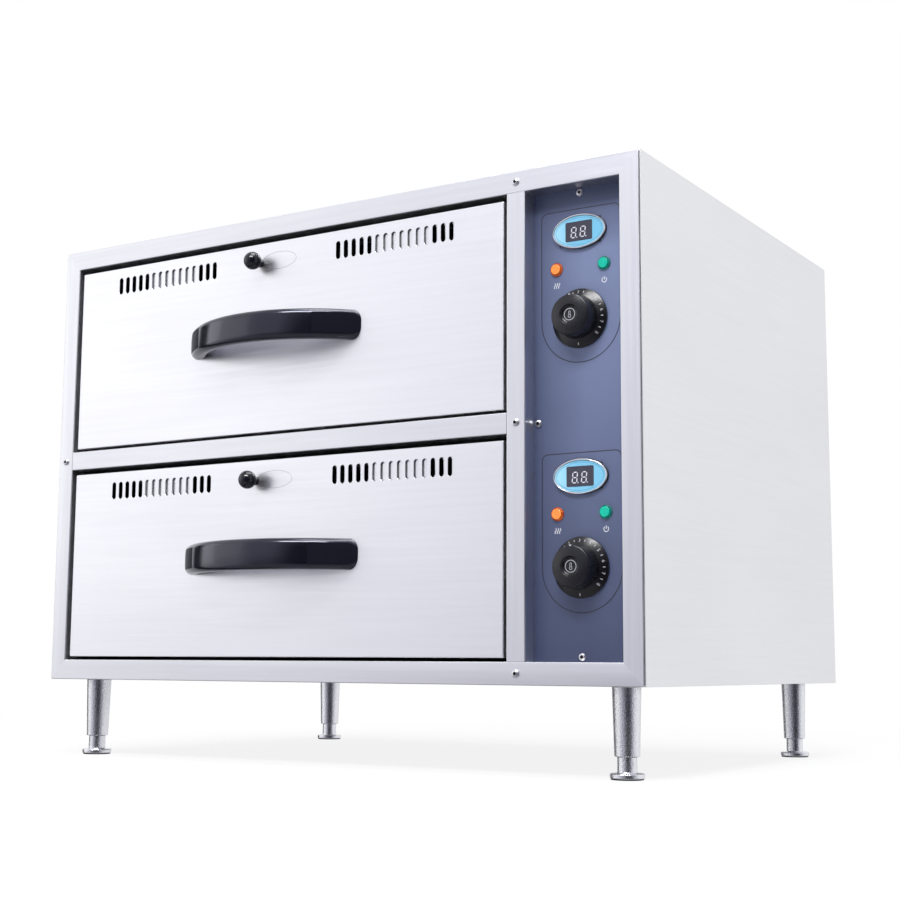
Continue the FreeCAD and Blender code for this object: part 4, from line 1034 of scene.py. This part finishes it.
def lens_plastic(name, face_colour, side_colour):
    """Coloured translucent plastic, paler on its flat face than round its sides, with a painted
    glow in the same colours that stands in for the light coming through it.
    """
    lens = Finish(name, face_colour, 0.16, specular_ior_level=0.4)
    facets = lens.spread(lens.noise((420.0, 60.0, 420.0), detail=1.0), span=NOISE_CORE)
    at_side = lens.past(lens.coordinate("Object", "Y"), panel_y, LENS_SIDE)
    shade = at_side * 0.75 + facets * 0.25
    lens.tint(shade, side_colour)
    # Painted glow: the lens emits a little light of its own colours, though it is not lit.
    lens.set("Emission Color", lens.blend(shade, face_colour, side_colour))
    lens.set("Emission Strength", LENS_PAINTED_GLOW)
    return lens


amber = lens_plastic("amber_lens", (0.80, 0.24, 0.05), (0.30, 0.035, 0.004))
green = lens_plastic("green_lens", (0.0, 0.38, 0.27), (0.0, 0.10, 0.08))
for node, finish, slot in (("heat_lamps", amber, "amber_lens"), ("power_lamps", green, "green_lens")):
    lamps = bmesh.new()
    x = middle_x(node)
    for level in LEVELS:
        turned(lamps, LENS_RINGS, (x, panel_y, floor_of(level) + LAMP_RISE), segments=40)
    finished(node + "_lenses", lamps, finish, "cabinet", [node])

# ------------------------------------------------------------------ thermostats
# A black capillary thermostat behind the panel at each level, its spindle through a hole,
# and a two-part moulded knob: a glossy numbered skirt and a satin barrel to grip.
SKIRT = 0.0290
SKIRT_EDGE = 0.0004
SKIRT_SLOPE = math.atan2(0.0034, 0.0075)
BARREL = 0.0210
BARREL_FRONT = 0.0198
BARREL_ROUND = 0.0016
KNOB_DEPTH = 0.0250
KNOB_RECESS = 0.0093
RECESS_RIM = KNOB_DEPTH - 0.0002
RECESS_FLOOR = 0.0062
RECESS_BEND = (0.0028, 0.0023)
RECESS_ANGLES = (30.0, 45.0, 60.0, 75.0, 90.0)
# Each ring: its radius, and how far it stands off the panel.
SKIRT_RINGS = [(SKIRT - SKIRT_EDGE, 0.0), (SKIRT, SKIRT_EDGE), (SKIRT, 0.0021),
               *bend(SKIRT - SKIRT_EDGE, 0.0021, SKIRT_EDGE, 20.0, 65.0, 2),
               (0.0216, 0.0059), (0.0180, 0.0060)]
BARREL_RINGS = [(BARREL - 0.0006, 0.0060), (BARREL - 0.0006, 0.0066), (BARREL, 0.0069),
                (BARREL - 0.0001, 0.0080),
                *bend(BARREL_FRONT - BARREL_ROUND, KNOB_DEPTH - 2 * BARREL_ROUND, BARREL_ROUND, 0.0, 78.0,
                      5),
                (0.0160, KNOB_DEPTH - 0.0010), (0.0135, KNOB_DEPTH - 0.0004), (0.0110, KNOB_DEPTH - 0.0001),
                (KNOB_RECESS + 0.0004, KNOB_DEPTH), (KNOB_RECESS, KNOB_DEPTH - 0.0003)]
BARREL_RINGS += [(RECESS_FLOOR + RECESS_BEND[0] * math.cos(math.radians(angle)),
                  RECESS_RIM - RECESS_BEND[1] * math.sin(math.radians(angle))) for angle in RECESS_ANGLES]
# The skirt's figures and ticks: angles in degrees from the top, and their place on its slope.
DIAL_FIRST = -52.0
DIAL_STEP = 26.0
DIAL_COUNT = 8
DIAL_RADIUS = 0.0252
DIAL_OUT = 0.00443
DIAL_HEIGHT = 0.0046
TICK = ((-0.0004, -0.0010), (0.0004, 0.0014))
TICK_ROUND = 0.0002
INDEX = ((-0.0007, -0.0011), (0.0007, 0.0011))
INDEX_PLACE = (0.0, 0.00198 - KNOB_DEPTH, BARREL_FRONT - 0.00042)
INDEX_LEAN = math.radians(-45.0)
DIAL_THICKNESS = 0.00004
# The icon in the barrel's recess: a ring, and the bulb and tube of a thermometer.
ICON_RING = (0.0056, 0.0006)
BULB_DROP = Vector((0.0, 0.0, -0.0018))
BULB_RING = (0.0014, 0.0005)
TUBE_HALF = 0.0008
TUBE_LINE = 0.00044
TUBE_FOOT = -0.0008
TUBE_TOP = 0.0024

switch_black = grained("thermostat_moulding", (0.035, 0.035, 0.037), 300.0, 0.42, 0.60, detail=3.0)
skirt_plastic = grained("knob_skirt_gloss", (0.004, 0.004, 0.006), 60.0, 0.19, 0.27,
                        specular_ior_level=0.48)
barrel_plastic = grained("knob_barrel_satin", (0.004, 0.004, 0.007), 1800.0, 0.22, 0.30, detail=3.0,
                         depth=0.000015, specular_ior_level=0.45)
silver_print = grained("silver_print", (0.70, 0.70, 0.72), 900.0, 0.22, 0.36, metallic=1.0)
dress("thermostats", switch_black)


def add_text(bm, words, size, place):
    """Sets flat letters, facing +Z before the matrix moves them."""
    letters = bpy.data.curves.new("letters", "FONT")
    letters.body = words
    letters.size = size
    letters.align_x = "CENTER"
    letters.align_y = "CENTER"
    letters.resolution_u = 3
    holder = bpy.data.objects.new("letters", letters)
    bpy.context.collection.objects.link(holder)
    bpy.context.view_layer.update()
    mesh = bpy.data.meshes.new_from_object(holder.evaluated_get(bpy.context.evaluated_depsgraph_get()))
    older = set(bm.verts)
    bm.from_mesh(mesh)
    added = [vert for vert in bm.verts if vert not in older]
    bmesh.ops.transform(bm, matrix=place, verts=added)
    bpy.data.objects.remove(holder)
    bpy.data.curves.remove(letters)
    bpy.data.meshes.remove(mesh)


def back_centre(node):
    """The middle of a node's rear face, by which it is fixed."""
    low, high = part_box(node)
    return Vector(((low.x + high.x) / 2, high.y, (low.z + high.z) / 2))


def recess_icon(centre):
    """A ring with a small thermometer in it, printed on the floor of the barrel's recess."""
    icon = bmesh.new()
    band(icon, centre, *ICON_RING, 0.0, FULL_TURN, 48)
    band(icon, centre + BULB_DROP, *BULB_RING, 0.0, FULL_TURN, 20)
    half = TUBE_LINE / 2
    for side in (-1, 1):
        x = centre.x + side * TUBE_HALF
        plate(icon, (x - half, centre.z + TUBE_FOOT), (x + half, centre.z + TUBE_TOP), centre.y)
    band(icon, centre + Vector((0.0, 0.0, TUBE_TOP)), TUBE_HALF, TUBE_LINE, 0.0, FULL_TURN / 2, 10)
    return icon


def dial_marks(seat):
    """The skirt's figures with a tick between each pair and one at its foot, and the barrel's
    index line."""
    marks = bmesh.new()
    on_slope = Matrix.Translation((0.0, -DIAL_OUT, DIAL_RADIUS)) @ Matrix.Rotation(-SKIRT_SLOPE, 4, "X")
    face_up = Matrix.Rotation(math.pi / 2, 4, "X")

    def spoke(angle):
        return Matrix.Translation(seat) @ Matrix.Rotation(math.radians(angle), 4, "Y") @ on_slope

    for count in range(DIAL_COUNT):
        add_text(marks, str(count + 1), DIAL_HEIGHT, spoke(DIAL_FIRST + count * DIAL_STEP) @ face_up)
    between_figures = [DIAL_FIRST + (count + 0.5) * DIAL_STEP for count in range(DIAL_COUNT - 1)]
    for angle in between_figures + [FULL_TURN / 2]:
        tick = plate(marks, *TICK, 0.0, TICK_ROUND, TICK_ROUND, 2)
        bmesh.ops.transform(marks, matrix=spoke(angle), verts=tick.verts[:])
    index = plate(marks, *INDEX, 0.0)
    at_rim = Matrix.Translation(INDEX_PLACE) @ Matrix.Rotation(INDEX_LEAN, 4, "X")
    bmesh.ops.transform(marks, matrix=Matrix.Translation(seat) @ at_rim, verts=index.verts[:])
    raised(marks, marks.faces[:], (0.0, -DIAL_THICKNESS, 0.0))
    return marks


for level in LEVELS:
    body, node = level + "_thermostat", level + "_thermostat_knob"
    seat = back_centre(node)
    skirt = bmesh.new()
    turned(skirt, SKIRT_RINGS, seat, segments=96)
    finished(level + "_knob_skirt", skirt, skirt_plastic, body, [node])
    barrel = bmesh.new()
    turned(barrel, BARREL_RINGS, seat, segments=96)
    finished(level + "_knob_barrel", barrel, barrel_plastic, body, [node])
    icon = recess_icon(seat + Vector((0.0, RECESS_BEND[1] - RECESS_RIM, 0.0)))
    printed(level + "_knob_icon", icon, silver_print, body)
    finished(level + "_knob_figures", dial_marks(seat), figure_ink, body, weighted=False)
    dress(level + "_thermostat_spindle", screw_zinc)

# ------------------------------------------------------------------ wiring
# The mains cable's black nylon gland, held in the back panel by its nut, and the moulded
# terminal block behind it that the cable leads to.
dress("cable_gland", nylon)
block_white = Finish("terminal_white", (0.62, 0.60, 0.54), 0.45)
block_white.tint(block_white.spread(block_white.noise(60.0, detail=3.0)), (0.54, 0.50, 0.42))
dress("terminal_block", block_white)

# ------------------------------------------------------------------ drawer fronts
# Each front is a shallow tray of 1.2 mm stainless folded back all round, with two groups of
# stamped slots near its top, their cut edges near-black as painted shade, and an oval embossed
# beside the shutter's knob, its crease drawn as a thin line of painted shade.
SLOT_WIDTH = 0.0053
SLOT_HEIGHT = 0.0190
SLOT_PITCH = 0.01007
SLOT_COUNT = 15
GROUP_OFFSET = 0.1553
VENT_RISE = 0.1905
SLOT_ROLL = 0.0003
# The ends of a slot are rounded by a hair less than half its width.
SLOT_END = 0.998
FRONT_FOLD = 0.0010
EMBOSSED = (0.0235, 0.0096)
EMBOSSED_OFFSET = 0.006
EMBOSSED_LINE = 0.0005
TRAY_CORNER = 0.0012
# An edge longer than this from front to rear is one of the tray's four corners.
CORNER_LENGTH = 0.01

front_steel = satin_steel("satin_steel_fronts", (0.880, 0.880, 0.905), "X", 0.34, cloud=0.02)
# Painted shade: a darker steel for the thin line drawn along the embossed oval's crease.
embossed_crease_shade = satin_steel("embossed_crease_shade", (0.52, 0.52, 0.57), "X", 0.36)
# Painted shade: near-black for the slots' walls and the other cut edges, which lie in shade.
painted_edge_shade = grained("painted_edge_shade", (0.05, 0.05, 0.055), 900.0, 0.42, 0.62, metallic=1.0)


def slot_places(level):
    """The middles of a front's slots along X, from its left group to its right one."""
    middle = middle_x(level + "_drawer_front")
    steps = [count - (SLOT_COUNT - 1) / 2 for count in range(SLOT_COUNT)]
    return [middle + group * GROUP_OFFSET + step * SLOT_PITCH for group in (-1, 1) for step in steps]


def slotted_skin(bm, rim, places, z, y, width, roll):
    """Fills a sheet inside a rim of edges, all but its round-ended slots with rolled-in edges."""
    slots = []
    half_width, half_height = width / 2 + roll, SLOT_HEIGHT / 2 + roll
    end = half_width * SLOT_END
    for x in places:
        hole = plate(bm, (x - half_width, z - half_height), (x + half_width, z + half_height), y,
                     end, end, 6)
        slots.append((hole.edges[:], Vector((x, y, z))))
        bmesh.ops.delete(bm, geom=[hole], context="FACES_ONLY")
    every_edge = rim + [edge for edges, _ in slots for edge in edges]
    bmesh.ops.triangle_fill(bm, edges=every_edge, use_beauty=True, normal=FORWARD)
    for edges, centre in slots if roll else ():
        inner = bmesh.ops.extrude_edge_only(bm, edges=edges)["geom"]
        verts = [item for item in inner if isinstance(item, bmesh.types.BMVert)]
        shrink = (width / (width + 2 * roll), 1.0, SLOT_HEIGHT / (SLOT_HEIGHT + 2 * roll))
        bmesh.ops.scale(bm, vec=shrink, space=Matrix.Translation(-centre), verts=verts)
        bmesh.ops.translate(bm, vec=(0.0, roll, 0.0), verts=verts)


for level in LEVELS:
    low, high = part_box(level + "_drawer_front")
    base = floor_of(level)
    tray = bmesh.new()
    block(tray, low, high)
    bmesh.ops.delete(tray, geom=[rear_face_of(tray)], context="FACES_ONLY")
    depth_edges = [edge for edge in tray.edges
                   if abs(edge.verts[0].co.y - edge.verts[1].co.y) > CORNER_LENGTH]
    round_edges(tray, depth_edges, TRAY_CORNER, 4)
    round_edges(tray, front_face_of(tray).edges[:], FRONT_FOLD, 4)
    face = front_face_of(tray)
    rim = face.edges[:]
    bmesh.ops.delete(tray, geom=[face], context="FACES_ONLY")
    slotted_skin(tray, rim, slot_places(level), base + VENT_RISE, low.y, SLOT_WIDTH, SLOT_ROLL)
    finished(level + "_front_tray", tray, front_steel, level + "_drawer",
             [level + "_drawer_front"], sheet=SHEET, cut_edge_shade=painted_edge_shade)
    # The embossed oval's crease, drawn as a flat ring of painted shade.
    emboss = bmesh.new()
    centre = Vector(((low.x + high.x) / 2 + EMBOSSED_OFFSET, low.y, base + VENT_RISE))
    stood_up = Matrix.Translation(centre) @ Matrix.Rotation(math.pi / 2, 4, "X")
    oval = bmesh.ops.create_circle(emboss, cap_ends=True, segments=72, radius=1.0,
                                   matrix=stood_up @ Matrix.Diagonal((*EMBOSSED, 1.0, 1.0)))["verts"]
    ring_only(emboss, oval[0].link_faces[0], EMBOSSED_LINE)
    printed(level + "_embossed_oval", emboss, embossed_crease_shade, level + "_drawer")
    dress(level + "_drawer_inner_sheet", liner_steel)

# ------------------------------------------------------------------ vent shutters
# A stainless strip slides behind each front to open or shut its slots: its own stand a little
# to the left of the front's, and the middle ones are left out. A black ball knob on a short
# neck moves it from the front.
SHUTTER_SLOT = 0.0062
SHUTTER_SLID = -0.0020
BLANKED = range(5, 12)
NECK = 0.0022
# The collar in front of the sheet: radius, and distance from the front's face.
COLLAR_RINGS = ((NECK, 0.0004), (0.0042, 0.0004), (0.0045, 0.0007), (0.0044, 0.0011), (0.0040, 0.0016),
                (0.0038, 0.0030))

ball_plastic = grained("ball_knob_gloss", (0.004, 0.004, 0.008), 90.0, 0.11, 0.18, specular_ior_level=0.5)
for level in LEVELS:
    low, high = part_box(level + "_vent_shutter")
    strip = bmesh.new()
    sheet_face = plate(strip, low.xz, high.xz, low.y)
    rim = sheet_face.edges[:]
    bmesh.ops.delete(strip, geom=[sheet_face], context="FACES_ONLY")
    open_slots = [x + SHUTTER_SLID for count, x in enumerate(slot_places(level))
                  if count % SLOT_COUNT not in BLANKED]
    slotted_skin(strip, rim, open_slots, (low.z + high.z) / 2, low.y, SHUTTER_SLOT, 0.0)
    # Its slot walls and cut edges take the near-black painted shade as well.
    finished(level + "_shutter_strip", strip, front_steel, level + "_shutter",
             [level + "_vent_shutter"], sheet=high.y - low.y, cut_edge_shade=painted_edge_shade)
    low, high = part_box(level + "_vent_knob")
    seat = back_centre(level + "_vent_knob")
    to_face = seat.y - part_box(level + "_drawer_front")[0].y
    ball = (high.z - low.z) / 2
    ball_at = seat.y - low.y - ball
    knob = bmesh.new()
    rings = [(NECK, 0.0)] + [(radius, to_face + distance) for radius, distance in COLLAR_RINGS]
    turned(knob, rings + bend(0.0, ball_at, ball, -66.0, 88.0, 20), seat, segments=48)
    finished(level + "_ball_knob", knob, ball_plastic, level + "_shutter",
             [level + "_vent_knob"])

# ------------------------------------------------------------------ handles
# A black moulded bow with a flat front band, rounded edges and a facet at each end where it
# comes down to its foot: glossy, but satin on its inner side and on the ends of its front. Its
# inner side is coloured a pale lilac grey as painted light, so that its reflection lightens the
# shade under the bow on the front. Two screws hold it from behind.
BOW_RADIUS = 0.1525
BOW_CREASE = 0.1035
BOW_HALF = 0.1160
BOW_REACH = 0.0535
INNER_HALF = 0.0910
INNER_REACH = 0.0390
BOW_EDGE = 0.0065
BOW_CORNER = 0.0090
BOW_DEPTH = 0.0145
BOW_CUTS = 59
CREASE_AT = 0.9
DULL_FROM = 0.62
# A face lies inside or in front when it is within this share of the depth from there.
NEAR_FACE = 0.01
# The material slots that follow the glossy one.
DULL_END, PAINTED_PALE_INSIDE = 1, 2
HANDLE_BLACK = (0.004, 0.004, 0.008)
HANDLE_SHEEN = (0.84, 0.86, 1.0, 1.0)

handle_plastic = grained("handle_gloss", HANDLE_BLACK, 30.0, 0.12, 0.19, detail=3.0,
                         specular_ior_level=0.75, specular_tint=HANDLE_SHEEN)
handle_plastic.relief(handle_plastic.noise(160.0), 0.00003)
handle_ends = grained("handle_end_satin", (0.008, 0.008, 0.014), 700.0, 0.24, 0.36,
                      specular_ior_level=0.01)
# Painted light: the hidden inner side is pale lilac grey, so that the front's reflection of it lightens the
# shade under the bow.
handle_inside = grained("handle_inside_painted_pale", (0.26, 0.26, 0.33), 700.0, 0.44, 0.56,
                        specular_ior_level=0.3)


def on_bow(share):
    """A point of the bow's outer curve as (across, out), for a share from -1 to 1 of its length."""
    crease_angle = math.asin(BOW_CREASE / BOW_RADIUS)
    sunk = BOW_RADIUS - BOW_REACH
    crease_out = BOW_RADIUS * math.cos(crease_angle) - sunk
    if abs(share) <= CREASE_AT:
        angle = share / CREASE_AT * crease_angle
        return BOW_RADIUS * math.sin(angle), BOW_RADIUS * math.cos(angle) - sunk
    rest = (abs(share) - CREASE_AT) / (1.0 - CREASE_AT)
    across = BOW_CREASE + (BOW_HALF - BOW_CREASE) * rest
    return math.copysign(across, share), crease_out * (1.0 - rest)


def under_bow(share):
    """The same for the bow's inner curve, a plain arc."""
    radius = (INNER_HALF ** 2 + INNER_REACH ** 2) / (2 * INNER_REACH)
    angle = share * math.asin(INNER_HALF / radius)
    return radius * math.sin(angle), radius * math.cos(angle) - (radius - INNER_REACH)


for level in LEVELS:
    low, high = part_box(level + "_handle")
    middle = back_centre(level + "_handle")
    half_height = (high.z - low.z) / 2
    # A straight bar whose X, from -1 to 1, is the share that on_bow and under_bow take.
    bow = bmesh.new()
    block(bow, (-1.0, 0.0, -half_height), (1.0, BOW_DEPTH, half_height))
    round_edges(bow, [edge for edge in bow.edges if edge.calc_length() > 1.0], BOW_EDGE, 6)
    long_edges = [edge for edge in bow.edges if edge.calc_length() > 1.0]
    bmesh.ops.subdivide_edges(bow, edges=long_edges, cuts=BOW_CUTS, use_grid_fill=True)
    for face in bow.faces:
        middle_of_face = face.calc_center_median()
        if middle_of_face.y < NEAR_FACE * BOW_DEPTH:
            face.material_index = PAINTED_PALE_INSIDE
        elif middle_of_face.y > (1.0 - NEAR_FACE) * BOW_DEPTH and abs(middle_of_face.x) > DULL_FROM:
            face.material_index = DULL_END
    for vert in bow.verts:
        share, towards_front = vert.co.x, vert.co.y / BOW_DEPTH
        across, out = Vector(under_bow(share)).lerp(Vector(on_bow(share)), towards_front)
        past = max(0.0, abs(across) - (BOW_HALF - BOW_CORNER))
        lost = BOW_CORNER - math.sqrt(max(0.0, BOW_CORNER ** 2 - past ** 2))
        shrink = 1.0 - lost / half_height
        vert.co = middle + Vector((across, -out, vert.co.z * shrink))
    piece = finished(level + "_handle_bow", bow, handle_plastic, level + "_drawer",
                     [level + "_handle"], weighted=False)
    for finish in (handle_ends, handle_inside):
        piece.data.materials.append(finish.material)

# ------------------------------------------------------------------ pans and carriers
# A deep-drawn stainless gastronorm pan with a rolled rim hangs in each drawer's galvanised
# carrier by that rim, and lifts straight out.
pan_steel = satin_steel("pan_steel", (0.74, 0.74, 0.76), "X", 0.20, cloud=0.03)
for level in LEVELS:
    dress(level + "_pan", pan_steel)
    dress(level + "_pan_carrier", bay_steel)
